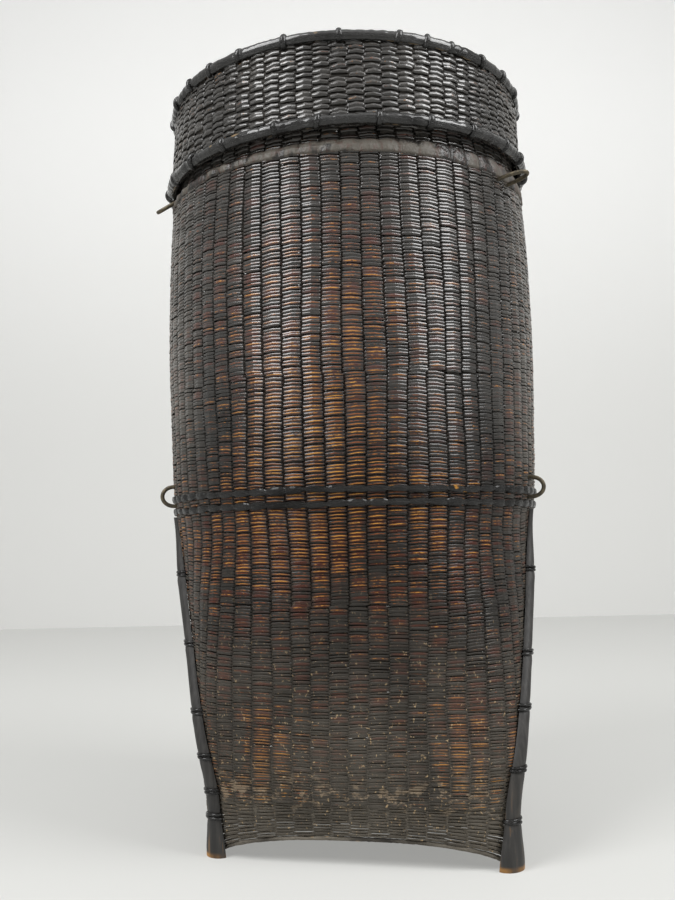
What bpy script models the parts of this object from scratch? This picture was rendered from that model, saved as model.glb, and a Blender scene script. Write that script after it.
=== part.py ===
"""A tall lidded basket for storing grain, of close-woven blackened cane.

The round barrel body turns into a slightly racked square base on four corner legs.
A cap lid with bound hoops drops over the neck and lifts straight off.
Units are metres, +Z is up, the front faces -Y and the origin lies under the middle
of the basket, on the surface that it stands on.
"""
import math

import bmesh
import bpy
from mathutils import Euler, Vector

# Shared fits and counts
TOUCH_GAP = 0.0003           # left between pieces that touch on the real basket
CUTTER_OVERRUN = 0.0040      # how far a hole's cutter runs past both faces of a wall
MERGE_DISTANCE = 0.00001     # joins the ends of a turned piece
SEGMENTS = 64                # flats round every turned or woven ring, one for each stake
CANE_SIDES = 6               # flats round the bottom edge's cane
HOLE_SIDES = 12              # flats round a hole for a wire
SHARP_DEG = 40.0             # edges that turn further than this are not smoothed

# Woven body
BODY_RADIUS = 0.1203         # outer radius at the two middle bands
SHOULDER_HEIGHT = 0.4070     # top of the visible body
SHOULDER_RISE = 0.0100       # from the shoulder up to the neck that the lid covers
NECK_HEIGHT = 0.0520         # from the shoulder's end up to the mouth
WALL_THICKNESS = 0.0034
GROOVE_DEPTH = 0.0010        # how far the weave dips between two upright stakes
ROUND_HEIGHT = 0.2000        # the plan is a circle from here up
BASE_SQUARE_POWER = 6.0      # superellipse power of the plan at the floor
BASE_RACK_SHARE = 0.208      # the base square leans this share of its width front to back
BASE_SHIFT = -0.0030         # the base stands this far to one side of the body's axis
BASE_SPREAD_SHARE = 0.5      # how far the stakes spread out evenly along the base's sides
HEM_HEIGHT = 0.0300          # top of the closely twined hem
LOWER_RINGS = 11             # levels from the hem to where the plan is round
UPPER_RINGS = 6              # levels from there to the shoulder
SHOULDER_RING_SHARES = (0.35, 0.65, 1.0)
LEAN_DROP = 0.0006           # the wall starts to lean with the lid this far under the shoulder
# (share of the shoulder's height, share of the body's radius) of the outer profile
PROFILE_SHARES = (
    (0.000, 0.771), (0.075, 0.792), (0.150, 0.825), (0.225, 0.846), (0.300, 0.877),
    (0.375, 0.921), (0.450, 0.965), (0.520, 0.998), (0.610, 1.009), (0.760, 1.020),
    (0.900, 1.011), (1.000, 0.992),
)

# Bottom edge, which arches between the feet
EDGE_CORNER_HEIGHT = 0.0042
EDGE_ARCH_RISE = 0.0125
EDGE_ARCH_POWER = 3.0
EDGE_CANE_RADIUS = 0.0013

# Woven floor inside the wall
FLOOR_HEIGHT = 0.0220
FLOOR_THICKNESS = 0.0030

# Lid, whose sizes are stated at its own upright axis
LID_RADIUS = 0.1200          # outer radius of its woven wall at the rim
LID_TAPER = 0.0022           # how much smaller that radius is at the top
LID_WALL_THICKNESS = 0.0030
LID_RIM_RISE = 0.0133        # its rim stands this far above the shoulder
LID_CLEARANCE = 0.0018       # running room between the lid and the neck
MOUTH_TILT_DEG = (-1.9, -0.6, 0.0)  # how far the mouth and lid top stand out of level
RIM_TILT_DEG = (0.0, -2.1, 0.0)     # and how far the lid rim and the shoulder do
LID_PANEL_THICKNESS = 0.0024
LID_CROWN_RISE = 0.0030
LID_RING_SHARES = (0.0, 0.16, 0.5, 0.84, 1.0)
CROWN_RING_SHARES = (0.0, 0.35, 0.65, 1.0)

# Split-cane hoops: height, depth and how far one stands past the edge that it binds
RIM_HOOP_HEIGHT = 0.0072
RIM_HOOP_DEPTH = 0.0034
RIM_HOOP_OVERHANG = 0.0005
TOP_HOOP_HEIGHT = 0.0064
TOP_HOOP_DEPTH = 0.0020
TOP_HOOP_OVERHANG = 0.0022
MOUTH_HOOP_HEIGHT = 0.0080
MOUTH_HOOP_DEPTH = 0.0022
MOUTH_COLLAR_HEIGHT = 0.0100 # the top of the neck, straight where the hoops grip it
HOOP_ARC_POINTS = 3

# Thin cane that binds hoops and legs
LASHING_THICKNESS = 0.0007
LASHING_WIDTH = 0.0030
LASHING_WRAPS = 24
WRAP_REACH_DEG = 45.0        # how far round a hoop's section a wrap reaches, each way
WRAP_STEP_SHARE = 0.12       # share of a wrap's half width in which it leaves the run

# Wide flat strips woven in as bands
MIDDLE_BAND_HEIGHT = 0.0044
BAND_THICKNESS = 0.0008
LOWER_BAND_LEVEL = 0.2034    # middle of the lower of the two
BAND_CLEARANCE = 0.0004      # between a band and the wire that passes it
NECK_BAND_DROP = 0.0025      # its lower edge lies this far under the shoulder

# Legs of split bamboo
LEG_HALF_WIDTH = 0.0052
LEG_DEPTH = 0.0045
LEG_TOP_SHARE = 0.45         # width and depth at the thin upper end
FOOT_FLARE_SHARE = 1.6       # width at the ground
FOOT_DEPTH_SHARE = 1.55      # depth at the ground
FOOT_FLARE_HEIGHT = 0.0300
LEG_TAPER_HEIGHT = 0.0450
LEG_SEAT_GAP = 0.0004        # left behind it, since its facets cut across the base's corners
LEG_TOP_GAP = 0.0012         # between its upper end and the lower band
FOOT_RING_SHARES = (0.0, 0.3, 0.65)
LEG_FACING_STEP_DEG = 0.5    # step each way that finds which way the wall faces
LEG_ARC_POINTS = 5
LEG_LASHING_WIDTH = 0.0022
# Azimuths from the front, positive to the right, of each leg's foot and of its upper end
LEG_ANGLES_DEG = {
    "front_left": (-45.0, -76.0),
    "front_right": (45.0, 68.0),
    "back_left": (-135.0, -112.0),
    "back_right": (135.0, 104.0),
}
# Heights of each leg's lashings as shares of the leg's height
LEFT_LASHING_SHARES = (0.118, 0.190, 0.290, 0.415, 0.610, 0.820)
RIGHT_LASHING_SHARES = (0.132, 0.270, 0.430, 0.575, 0.815)
LEG_LASHING_SHARES = {
    "front_left": LEFT_LASHING_SHARES,
    "front_right": RIGHT_LASHING_SHARES,
    "back_left": RIGHT_LASHING_SHARES,
    "back_right": LEFT_LASHING_SHARES,
}

# Wire eyes for a carrying cord, their legs clinched inside the wall
WIRE_RADIUS = 0.00130
EYE_WIDTH = 0.0125           # between the centre lines of its two legs
EYE_HOLE_CLEARANCE = 0.0004
CLINCH_GAP = 0.0018
CLINCH_LENGTH = 0.0060
EYE_BEND_POINTS = 4
EYE_ARC_POINTS = 9
UPPER_LEFT_RISE = 0.0041     # the upper left eye's legs above the shoulder
UPPER_RIGHT_RISE = -0.0035   # and the upper right eye's
# Azimuth, reach past the wall, droop and twist about the way it points, angles in degrees
EYES = {
    "middle_eye_left": (-76.0, 0.0094, 0.0, 0.0),
    "middle_eye_right": (64.5, 0.0109, 0.0, 0.0),
    "upper_eye_left": (-78.0, 0.0138, 33.0, -18.0),
    "upper_eye_right": (54.0, 0.0175, -8.0, 0.0),
}

# Heights and radii that follow from the sizes above
NECK_START = SHOULDER_HEIGHT + SHOULDER_RISE
MOUTH_HEIGHT = NECK_START + NECK_HEIGHT
COLLAR_START = MOUTH_HEIGHT - MOUTH_COLLAR_HEIGHT
NECK_RADIUS = LID_RADIUS - LID_WALL_THICKNESS - LID_CLEARANCE
LASHING_ROOM = TOUCH_GAP + LASHING_THICKNESS
MOUTH_BINDING_RADIUS = NECK_RADIUS - LID_TAPER
MOUTH_RADIUS = MOUTH_BINDING_RADIUS - LASHING_ROOM - MOUTH_HOOP_DEPTH - TOUCH_GAP
LID_PANEL_HEIGHT = MOUTH_HEIGHT + LASHING_ROOM + TOUCH_GAP
LID_WALL_TOP = LID_PANEL_HEIGHT - TOUCH_GAP
LID_RIM_HEIGHT = SHOULDER_HEIGHT + LID_RIM_RISE
LID_WALL_HEIGHT = LID_WALL_TOP - LID_RIM_HEIGHT
LOWER_EYE_LEVEL = LOWER_BAND_LEVEL + MIDDLE_BAND_HEIGHT / 2 + BAND_CLEARANCE + WIRE_RADIUS
UPPER_BAND_LEVEL = LOWER_EYE_LEVEL + (LOWER_EYE_LEVEL - LOWER_BAND_LEVEL)
LEAN_START = SHOULDER_HEIGHT - LEAN_DROP
LEG_TOP = LOWER_BAND_LEVEL - MIDDLE_BAND_HEIGHT / 2 - LEG_TOP_GAP
MIDDLE_EYE_LEVEL = LOWER_EYE_LEVEL + EYE_WIDTH / 2
# The upper eyes lie flat at these heights, and the middle ones stand upright
UPPER_EYE_LEVELS = {
    "upper_eye_left": SHOULDER_HEIGHT + UPPER_LEFT_RISE,
    "upper_eye_right": SHOULDER_HEIGHT + UPPER_RIGHT_RISE,
}

BLACK_LACQUER = ((0.030, 0.027, 0.025), 0.35, 0.0)
WORN_CANE = ((0.110, 0.055, 0.030), 0.45, 0.0)
DARK_BAMBOO = ((0.045, 0.040, 0.036), 0.50, 0.0)
BARE_CANE = ((0.300, 0.150, 0.060), 0.60, 0.0)
IRON_WIRE = ((0.220, 0.190, 0.130), 0.45, 0.8)


def make_material(name, finish):
    """A Principled material from (colour, roughness, metallic)."""
    colour, roughness, metallic = finish
    material = bpy.data.materials.new(name)
    material.use_nodes = True
    shader = material.node_tree.nodes["Principled BSDF"]
    shader.inputs["Base Color"].default_value = (*colour, 1.0)
    shader.inputs["Roughness"].default_value = roughness
    shader.inputs["Metallic"].default_value = metallic
    material.diffuse_color = (*colour, 1.0)
    return material


def place(name, data, finish, collection, parent=None):
    """Adds an object with its own material to a collection."""
    piece = bpy.data.objects.new(name, data)
    data.materials.append(make_material(name + "_finish", finish))
    collection.objects.link(piece)
    piece.parent = parent
    return piece


def finish_mesh(shape, mesh):
    """Moves a built shape into its mesh and smooths all but its sharp edges."""
    bmesh.ops.recalc_face_normals(shape, faces=shape.faces)
    shape.to_mesh(mesh)
    shape.free()
    mesh.shade_smooth()
    mesh.set_sharp_from_angle(angle=math.radians(SHARP_DEG))


def loft(name, rings, closed=False):
    """A mesh through equal rings of points, capped at both ends or closed on itself."""
    mesh = bpy.data.meshes.new(name)
    shape = bmesh.new()
    made = [[shape.verts.new(point) for point in ring] for ring in rings]
    pairs = list(zip(made, made[1:]))
    if closed:
        pairs.append((made[-1], made[0]))
    for low, high in pairs:
        for i in range(len(low)):
            j = (i + 1) % len(low)
            shape.faces.new((low[i], low[j], high[j], high[i]))
    if not closed:
        shape.faces.new(list(reversed(made[0])))
        shape.faces.new(made[-1])
    finish_mesh(shape, mesh)
    return mesh


def turned(name, profile, finish, collection, parent=None, closed=True):
    """A Screw of (radius, height) points that run down the outer side."""
    mesh = bpy.data.meshes.new(name)
    edges = [(i, i + 1) for i in range(len(profile) - 1)]
    if closed:
        edges.append((len(profile) - 1, 0))
    mesh.from_pydata([(radius, 0.0, height) for radius, height in profile], edges, [])
    piece = place(name, mesh, finish, collection, parent)
    screw = piece.modifiers.new("turn", "SCREW")
    screw.axis = "Z"
    screw.steps = SEGMENTS
    screw.render_steps = SEGMENTS
    screw.use_smooth_shade = True
    screw.use_merge_vertices = True
    screw.merge_threshold = MERGE_DISTANCE
    return piece


def eased(share):
    """A smooth step from 0 to 1."""
    share = min(max(share, 0.0), 1.0)
    return share * share * (3 - 2 * share)


def mixed(start, end, share):
    return start + (end - start) * share


def body_radius(height):
    """Outer radius, or half width of the plan, at a height up to the shoulder."""
    at = min(max(height / SHOULDER_HEIGHT, 0.0), 1.0)
    stations = PROFILE_SHARES
    last = len(stations) - 2
    i = max(k for k in range(last + 1) if stations[k][0] <= at)
    (x0, y0), (x1, y1) = stations[i], stations[i + 1]
    before = stations[max(i - 1, 0)]
    after = stations[min(i + 2, last + 1)]
    span = x1 - x0
    slope0 = (y1 - before[1]) / (x1 - before[0])
    slope1 = (after[1] - y0) / (after[0] - x0)
    t = (at - x0) / span
    bend0 = slope0 * span * t * (1 - t) ** 2
    bend1 = slope1 * span * t * t * (t - 1)
    return BODY_RADIUS * (mixed(y0, y1, eased(t)) + bend0 + bend1)


def wall_radius(height):
    """Outer radius anywhere up to the mouth."""
    if height <= SHOULDER_HEIGHT:
        return body_radius(height)
    if height <= NECK_START:
        share = eased((height - SHOULDER_HEIGHT) / SHOULDER_RISE)
        return mixed(body_radius(SHOULDER_HEIGHT), NECK_RADIUS, share)
    return mixed(NECK_RADIUS, MOUTH_RADIUS, (height - NECK_START) / NECK_HEIGHT)


def plan_point(azimuth, height, inset=0.0):
    """A point of the plan at an azimuth from the front, inset from the outer face."""
    squareness = 1 - eased(height / ROUND_HEIGHT)
    power = mixed(2.0, BASE_SQUARE_POWER, squareness)
    side, front = math.sin(azimuth), math.cos(azimuth)
    radius = wall_radius(height) - inset
    radius /= (abs(side) ** power + abs(front) ** power) ** (1 / power)
    x = radius * side
    y = -radius * front - BASE_RACK_SHARE * squareness * x
    return Vector((x + BASE_SHIFT * squareness, y, height))


def tilted(point, tilt_deg, level):
    """A point turned out of level about the upright axis's point at a level."""
    turn = Euler([math.radians(angle) for angle in tilt_deg]).to_matrix()
    middle = Vector((0.0, 0.0, level))
    return middle + turn @ (point - middle)


def leaned(point, share):
    """A point tilted with the lid's rim at share 0 and with the mouth at share 1."""
    rim = tilted(point, RIM_TILT_DEG, LID_RIM_HEIGHT)
    return rim.lerp(tilted(point, MOUTH_TILT_DEG, MOUTH_HEIGHT), eased(share))


def wall_point(azimuth, height, inset=0.0):
    """A point of the wall, out of level from the shoulder up."""
    point = plan_point(azimuth, height, inset)
    share = eased((height - LEAN_START) / (NECK_START - LEAN_START))
    return point.lerp(leaned(point, (height - NECK_START) / (COLLAR_START - NECK_START)), share)


def ring_angles():
    return [math.tau * i / SEGMENTS for i in range(SEGMENTS)]


def stake_azimuth(stake, height):
    """Azimuth of a stake at a height, and of the groove after it half a stake on."""
    azimuth = math.tau * stake / SEGMENTS
    quarter, eighth = math.pi / 2, math.pi / 4
    middle = round(azimuth / quarter) * quarter
    even = middle + math.atan((azimuth - middle) / eighth)
    squareness = 1 - eased(height / ROUND_HEIGHT)
    return mixed(azimuth, even, BASE_SPREAD_SHARE * squareness)


def edge_height(azimuth):
    """Height of the arched lower edge of the wall."""
    side, front = abs(math.sin(azimuth)), abs(math.cos(azimuth))
    share = min(side, front) / max(side, front)
    return EDGE_CORNER_HEIGHT + EDGE_ARCH_RISE * (1 - share ** EDGE_ARCH_POWER)


def edge_point(stake, inset=0.0):
    """A point of the wall's arched lower edge."""
    azimuth = stake_azimuth(stake, 0.0)
    return plan_point(azimuth, edge_height(azimuth), inset)


def hem_point(stake, height, inset=0.0):
    """A point of the wall's straight side between its lower edge and the top of the hem."""
    low = edge_point(stake, inset)
    high = plan_point(stake_azimuth(stake, HEM_HEIGHT), HEM_HEIGHT, inset)
    return low.lerp(high, (height - low.z) / (HEM_HEIGHT - low.z))


def wall_levels():
    """Heights of the wall's rings above its lower edge."""
    levels = [mixed(HEM_HEIGHT, ROUND_HEIGHT, i / LOWER_RINGS) for i in range(LOWER_RINGS)]
    levels += [mixed(ROUND_HEIGHT, SHOULDER_HEIGHT, i / UPPER_RINGS) for i in range(UPPER_RINGS + 1)]
    levels += [SHOULDER_HEIGHT + SHOULDER_RISE * share for share in SHOULDER_RING_SHARES]
    return levels + [mixed(NECK_START, COLLAR_START, 0.5), COLLAR_START, MOUTH_HEIGHT]


def wall_ring(stakes, level, inset):
    """Points of the wall at stakes and a level, or at its lower edge without one."""
    if level is None:
        return [edge_point(stake, inset) for stake in stakes]
    return [wall_point(stake_azimuth(stake, level), level, inset) for stake in stakes]


def make_wall(parts, cutters):
    """The woven wall: an open tube, ribbed over its stakes, with an arched lower edge."""
    shape = bmesh.new()
    stakes = range(SEGMENTS)
    outer, inner = [], []
    for level in [None] + wall_levels():
        ribs = wall_ring(stakes, level, 0.0)
        grooves = wall_ring([stake + 0.5 for stake in stakes], level, GROOVE_DEPTH)
        ring = [point for pair in zip(ribs, grooves) for point in pair]
        outer.append([shape.verts.new(point) for point in ring])
        face = wall_ring(stakes, level, WALL_THICKNESS)
        inner.append([shape.verts.new(point) for point in face])
    for rings in (outer, inner):
        for low, high in zip(rings, rings[1:]):
            for i in range(len(low)):
                j = (i + 1) % len(low)
                shape.faces.new((low[i], low[j], high[j], high[i]))
    for ribs, face in ((outer[0], inner[0]), (outer[-1], inner[-1])):
        for i in stakes:
            j, groove = (i + 1) % SEGMENTS, 2 * i + 1
            shape.faces.new((ribs[2 * i], ribs[groove], ribs[2 * j], face[j], face[i]))
    mesh = bpy.data.meshes.new("basket_wall")
    finish_mesh(shape, mesh)
    wall = place("basket_wall", mesh, WORN_CANE, parts)
    for cutter in cutters:
        cut_with(wall, cutter)


def cut_with(piece, cutter):
    cut = piece.modifiers.new("hole " + cutter.name, "BOOLEAN")
    cut.operation = "DIFFERENCE"
    cut.solver = "EXACT"
    cut.object = cutter


def make_floor(parts):
    """The woven floor that closes the body just above the hem."""
    inset = WALL_THICKNESS + TOUCH_GAP
    rings = [[hem_point(stake, level, inset) for stake in range(SEGMENTS)]
             for level in (FLOOR_HEIGHT, FLOOR_HEIGHT + FLOOR_THICKNESS)]
    place("basket_floor", loft("basket_floor", rings), BARE_CANE, parts)


def make_edge_cane(parts):
    """The cane bound under the arched lower edge."""
    rings = []
    for stake in range(SEGMENTS):
        centre = edge_point(stake, WALL_THICKNESS / 2)
        centre.z -= TOUCH_GAP + EDGE_CANE_RADIUS
        outward = Vector((centre.x, centre.y, 0.0)).normalized()
        ring = []
        for k in range(CANE_SIDES):
            turn = math.tau * k / CANE_SIDES
            ring.append(centre + outward * EDGE_CANE_RADIUS * math.cos(turn)
                        + Vector((0, 0, EDGE_CANE_RADIUS * math.sin(turn))))
        rings.append(ring)
    place("bottom_edge_cane", loft("bottom_edge_cane", rings, closed=True), BLACK_LACQUER, parts)


def make_band(name, level, parts):
    """A flat strip woven in round the body."""
    low, high = level - MIDDLE_BAND_HEIGHT / 2, level + MIDDLE_BAND_HEIGHT / 2
    inner = [(body_radius(z) + TOUCH_GAP, z) for z in (low, high)]
    outer = [(radius + BAND_THICKNESS, z) for radius, z in reversed(inner)]
    turned(name, outer + inner, BLACK_LACQUER, parts)


def make_neck_band(parts, cutters):
    """The wide strip bent over the shoulder just under the lid."""
    levels = [SHOULDER_HEIGHT - NECK_BAND_DROP, SHOULDER_HEIGHT]
    levels += [SHOULDER_HEIGHT + SHOULDER_RISE * share for share in SHOULDER_RING_SHARES[:-1]]
    rings = []
    for azimuth in ring_angles():
        back = [wall_point(azimuth, level, -TOUCH_GAP) for level in levels]
        face = [wall_point(azimuth, level, -TOUCH_GAP - BAND_THICKNESS) for level in levels]
        rings.append(back + face[::-1])
    band = place("neck_band", loft("neck_band", rings, closed=True), BLACK_LACQUER, parts)
    for cutter in cutters:
        cut_with(band, cutter)


def hoop_profile(inner_radius, middle, height, depth):
    """A half-round section that bulges outwards."""
    points = []
    for k in range(HOOP_ARC_POINTS + 2):
        turn = math.pi * (0.5 - k / (HOOP_ARC_POINTS + 1))
        points.append((inner_radius + depth * math.cos(turn),
                       middle + height / 2 * math.sin(turn)))
    return points


def wrap_cycle():
    """(azimuth, wrapped) stations of one lashing cane round a hoop."""
    half = LASHING_WIDTH / 2 / LID_RADIUS
    edge = half * (1 - WRAP_STEP_SHARE)
    pitch = math.tau / LASHING_WRAPS
    stations = []
    for i in range(LASHING_WRAPS):
        middle = pitch * i
        stations += [(middle - half, 0), (middle - edge, 1), (middle + edge, 1),
                     (middle + half, 0), (middle + pitch / 2, 0)]
    return stations


def turned_point(azimuth, radius, height):
    return Vector((radius * math.sin(azimuth), -radius * math.cos(azimuth), height))


def make_hoop_lashing(name, hoop, parts, parent):
    """One cane that runs under a hoop and wraps up over it at every station."""
    inner_radius, middle, height, depth = hoop
    rings = []
    for azimuth, wrapped in wrap_cycle():
        low = -math.radians(WRAP_REACH_DEG)
        top = -low if wrapped else 0.0
        turns = [low, (low + top) / 2, top]
        section = []
        for clear, order in ((LASHING_ROOM, turns), (TOUCH_GAP, turns[::-1])):
            for turn in order:
                radius = inner_radius + (depth + clear) * math.cos(turn)
                rise = (height / 2 + clear) * math.sin(turn)
                section.append(turned_point(azimuth, radius, middle + rise))
        rings.append(section)
    place(name, loft(name, rings, closed=True), BLACK_LACQUER, parts, parent)


def make_mouth_lashing(out, back, top, parts, parent):
    """The cane over the mouth's edge, wrapped down both mouth hoops."""
    rings = []
    for azimuth, wrapped in wrap_cycle():
        low = top - (MOUTH_HOOP_HEIGHT if wrapped else LASHING_THICKNESS)
        high = top + LASHING_THICKNESS
        profile = [(out, low), (out, top), (back, top), (back, low),
                   (back - LASHING_THICKNESS, low), (back - LASHING_THICKNESS, high),
                   (out + LASHING_THICKNESS, high), (out + LASHING_THICKNESS, low)]
        rings.append([turned_point(azimuth, r, z) for r, z in profile])
    place("mouth_lashing", loft("mouth_lashing", rings, closed=True), BLACK_LACQUER, parts, parent)


def make_mouth(parts, frame):
    """The hoops and lashing that bind the mouth, in the mouth's own frame."""
    low = -MOUTH_HOOP_HEIGHT
    flare = (NECK_RADIUS - MOUTH_RADIUS) / NECK_HEIGHT * MOUTH_HOOP_HEIGHT
    outer = MOUTH_RADIUS + TOUCH_GAP
    edge = MOUTH_BINDING_RADIUS - LASHING_ROOM
    profile = [(edge, 0.0), (edge, low), (outer + flare, low), (outer, 0.0)]
    turned("mouth_hoop_outer", profile, DARK_BAMBOO, parts, frame)
    face = MOUTH_RADIUS - WALL_THICKNESS - TOUCH_GAP
    back = face - MOUTH_HOOP_DEPTH
    profile = [(face, 0.0), (face, low), (back, low), (back, 0.0)]
    turned("mouth_hoop_inner", profile, DARK_BAMBOO, parts, frame)
    make_mouth_lashing(edge + TOUCH_GAP, back - TOUCH_GAP, TOUCH_GAP, parts, frame)


def lid_wall_radius(height):
    """Outer radius of the lid's wall at a height above its rim."""
    return LID_RADIUS - LID_TAPER * height / LID_WALL_HEIGHT


def make_lid_wall(parts):
    """The lid's woven wall, whose rim and top are out of level by unlike angles."""
    outer, inner = [], []
    low, high = LID_RING_SHARES[1], LID_RING_SHARES[-2]
    for share in LID_RING_SHARES:
        height = LID_WALL_HEIGHT * share
        radius = lid_wall_radius(height)
        for inset, rings in ((0.0, outer), (LID_WALL_THICKNESS, inner)):
            flat = [turned_point(a, radius - inset, LID_RIM_HEIGHT + height)
                    for a in ring_angles()]
            rings.append([leaned(point, (share - low) / (high - low)) for point in flat])
    mesh = loft("lid_wall", outer + inner[::-1], closed=True)
    place("lid_wall", mesh, WORN_CANE, parts)


def make_lid(parts, mouth_frame, rim_frame):
    """The woven cap: wall, crowned panel, two hoops and their lashings."""
    make_lid_wall(parts)
    under = LID_PANEL_HEIGHT - MOUTH_HEIGHT
    rim_radius = lid_wall_radius(LID_WALL_HEIGHT)
    crown = [(rim_radius * share, under + LID_CROWN_RISE * (1 - share ** 2))
             for share in CROWN_RING_SHARES]
    upper = [(radius, z + LID_PANEL_THICKNESS) for radius, z in crown]
    turned("lid_panel", upper + crown[::-1], WORN_CANE, parts, mouth_frame, closed=False)

    middle = RIM_HOOP_HEIGHT / 2 - RIM_HOOP_OVERHANG
    radius = lid_wall_radius(-RIM_HOOP_OVERHANG) + TOUCH_GAP
    size = (radius, middle, RIM_HOOP_HEIGHT, RIM_HOOP_DEPTH)
    turned("lid_rim_hoop", hoop_profile(*size), BLACK_LACQUER, parts, rim_frame)
    make_hoop_lashing("lid_rim_lashing", size, parts, rim_frame)

    middle = under + LID_PANEL_THICKNESS + TOP_HOOP_OVERHANG - TOP_HOOP_HEIGHT / 2
    radius = lid_wall_radius(LID_WALL_HEIGHT - TOP_HOOP_HEIGHT) + TOUCH_GAP
    size = (radius, middle, TOP_HOOP_HEIGHT, TOP_HOOP_DEPTH)
    turned("lid_top_hoop", hoop_profile(*size), BLACK_LACQUER, parts, mouth_frame)
    make_hoop_lashing("lid_top_lashing", size, parts, mouth_frame)


def leg_size(height):
    """Half width and depth of a leg at a height."""
    flare = 1 - eased(height / FOOT_FLARE_HEIGHT)
    thin = 1 - eased((LEG_TOP - height) / LEG_TAPER_HEIGHT)
    width = LEG_HALF_WIDTH * mixed(1.0, FOOT_FLARE_SHARE, flare)
    depth = LEG_DEPTH * mixed(1.0, FOOT_DEPTH_SHARE, flare)
    return width * mixed(1.0, LEG_TOP_SHARE, thin), depth * mixed(1.0, LEG_TOP_SHARE, thin)


def leg_frame(leg, height):
    """Place on the wall, outward direction and sideways direction of a leg."""
    foot, upper = LEG_ANGLES_DEG[leg]
    share = eased((height - HEM_HEIGHT) / (LEG_TOP - HEM_HEIGHT))
    azimuth = math.radians(mixed(foot, upper, share))
    nudge = math.radians(LEG_FACING_STEP_DEG)
    at = plan_point(azimuth, height)
    along = plan_point(azimuth + nudge, height) - plan_point(azimuth - nudge, height)
    sideways = Vector((along.x, along.y, 0.0)).normalized()
    outward = Vector((sideways.y, -sideways.x, 0.0))
    if outward.dot(at) < 0:
        outward.negate()
    return at, outward, sideways


def leg_section(leg, height, clear=0.0):
    """Half-round points of a leg at a height, pushed outwards by a clearance."""
    at, outward, sideways = leg_frame(leg, height)
    width, depth = leg_size(height)
    points = []
    for k in range(LEG_ARC_POINTS + 2):
        turn = math.pi * k / (LEG_ARC_POINTS + 1)
        reach = LEG_SEAT_GAP + (depth + clear) * math.sin(turn)
        across = (width + clear) * math.cos(turn)
        points.append(at + outward * reach - sideways * across)
    return points


def leg_levels():
    """Heights of a leg's rings, the wall's own above the hem."""
    levels = [FOOT_FLARE_HEIGHT * share for share in FOOT_RING_SHARES]
    return levels + [level for level in wall_levels() if level < LEG_TOP - TOUCH_GAP] + [LEG_TOP]


def leg_face(leg, height, clear):
    """The leg's section as it lies between two of its rings, pushed outwards."""
    levels = leg_levels()
    above = min(level for level in levels if level > height)
    below = max(level for level in levels if level <= height)
    share = (height - below) / (above - below)
    ends = zip(leg_section(leg, below, clear), leg_section(leg, above, clear))
    return [low.lerp(high, share) for low, high in ends]


def make_leg(leg, parts):
    """A strip of split bamboo from under the middle eye down the corner to the ground."""
    rings = [leg_section(leg, level) for level in leg_levels()]
    place("leg_" + leg, loft("leg_" + leg, rings), DARK_BAMBOO, parts)


def make_leg_lashing(leg, number, share, parts):
    """A thin cane over the leg, whose ends go into the wall beside it."""
    level = LEG_TOP * share
    name = f"leg_{leg}_lashing_{number}"
    ends = (level - LEG_LASHING_WIDTH / 2, level + LEG_LASHING_WIDTH / 2)
    near = [leg_face(leg, end, TOUCH_GAP) for end in ends]
    far = [leg_face(leg, end, LASHING_ROOM) for end in reversed(ends)]
    rings = list(zip(*near, *far))
    place(name, loft(name, rings), BLACK_LACQUER, parts)


def eye_axes(eye):
    """Outward direction, width direction and height of an eye."""
    azimuth, twist = math.radians(EYES[eye][0]), math.radians(EYES[eye][3])
    radial = Vector((math.sin(azimuth), -math.cos(azimuth), 0.0))
    up = Vector((0, 0, 1))
    if eye not in UPPER_EYE_LEVELS:
        return radial, up, MIDDLE_EYE_LEVEL
    sideways = Vector((math.cos(azimuth), math.sin(azimuth), 0.0))
    return radial, sideways * math.cos(twist) + up * math.sin(twist), UPPER_EYE_LEVELS[eye]


def eye_wall(height):
    """Inner and outer radius between which the wall keeps where an eye passes it."""
    radii = (body_radius(height), wall_radius(height + SHOULDER_RISE))
    return min(radii) - WALL_THICKNESS, max(radii)


def eye_points(eye):
    """The wire's centre line: clinched end, hole, loop, hole, clinched end."""
    _, reach, droop_deg, _ = EYES[eye]
    radial, across, height = eye_axes(eye)
    face = body_radius(height)
    inside = eye_wall(height)[0] - CLINCH_GAP - WIRE_RADIUS
    bend = 2 * WIRE_RADIUS
    droop = math.radians(droop_deg)
    half = EYE_WIDTH / 2
    run = reach - WIRE_RADIUS
    rise = min(run, half)
    drop = -1 if eye in UPPER_EYE_LEVELS else 1
    path = []
    for side in (-1, 1):
        leg = [(inside, side * half, drop * (bend + CLINCH_LENGTH))]
        for k in range(EYE_BEND_POINTS):
            turn = math.pi / 2 * k / (EYE_BEND_POINTS - 1)
            leg.append((inside + bend * (1 - math.cos(turn)), side * half,
                        drop * bend * (1 - math.sin(turn))))
        leg.append((face + WIRE_RADIUS, side * half, 0.0))
        path.append(leg)
    loop = []
    for k in range(1, EYE_ARC_POINTS):
        turn = math.pi * k / EYE_ARC_POINTS
        out = run - rise + rise * math.sin(turn)
        loop.append((max(out, WIRE_RADIUS), -half * math.cos(turn)))
    middle = [(face + out * math.cos(droop), w, -out * math.sin(droop)) for out, w in loop]
    points = path[0] + middle + path[1][::-1]
    up = Vector((0, 0, 1))
    base = up * height
    return [base + radial * r + across * w + up * z for r, w, z in points]


def make_eye(eye, parts):
    """A wire eye as a bevelled curve with filled ends."""
    curve = bpy.data.curves.new(eye, "CURVE")
    curve.dimensions = "3D"
    curve.bevel_depth = WIRE_RADIUS
    curve.bevel_resolution = 2
    curve.use_fill_caps = True
    points = eye_points(eye)
    spline = curve.splines.new("POLY")
    spline.points.add(len(points) - 1)
    for point, place_at in zip(spline.points, points):
        point.co = (*place_at, 1.0)
    place(eye, curve, IRON_WIRE, parts)


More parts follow.
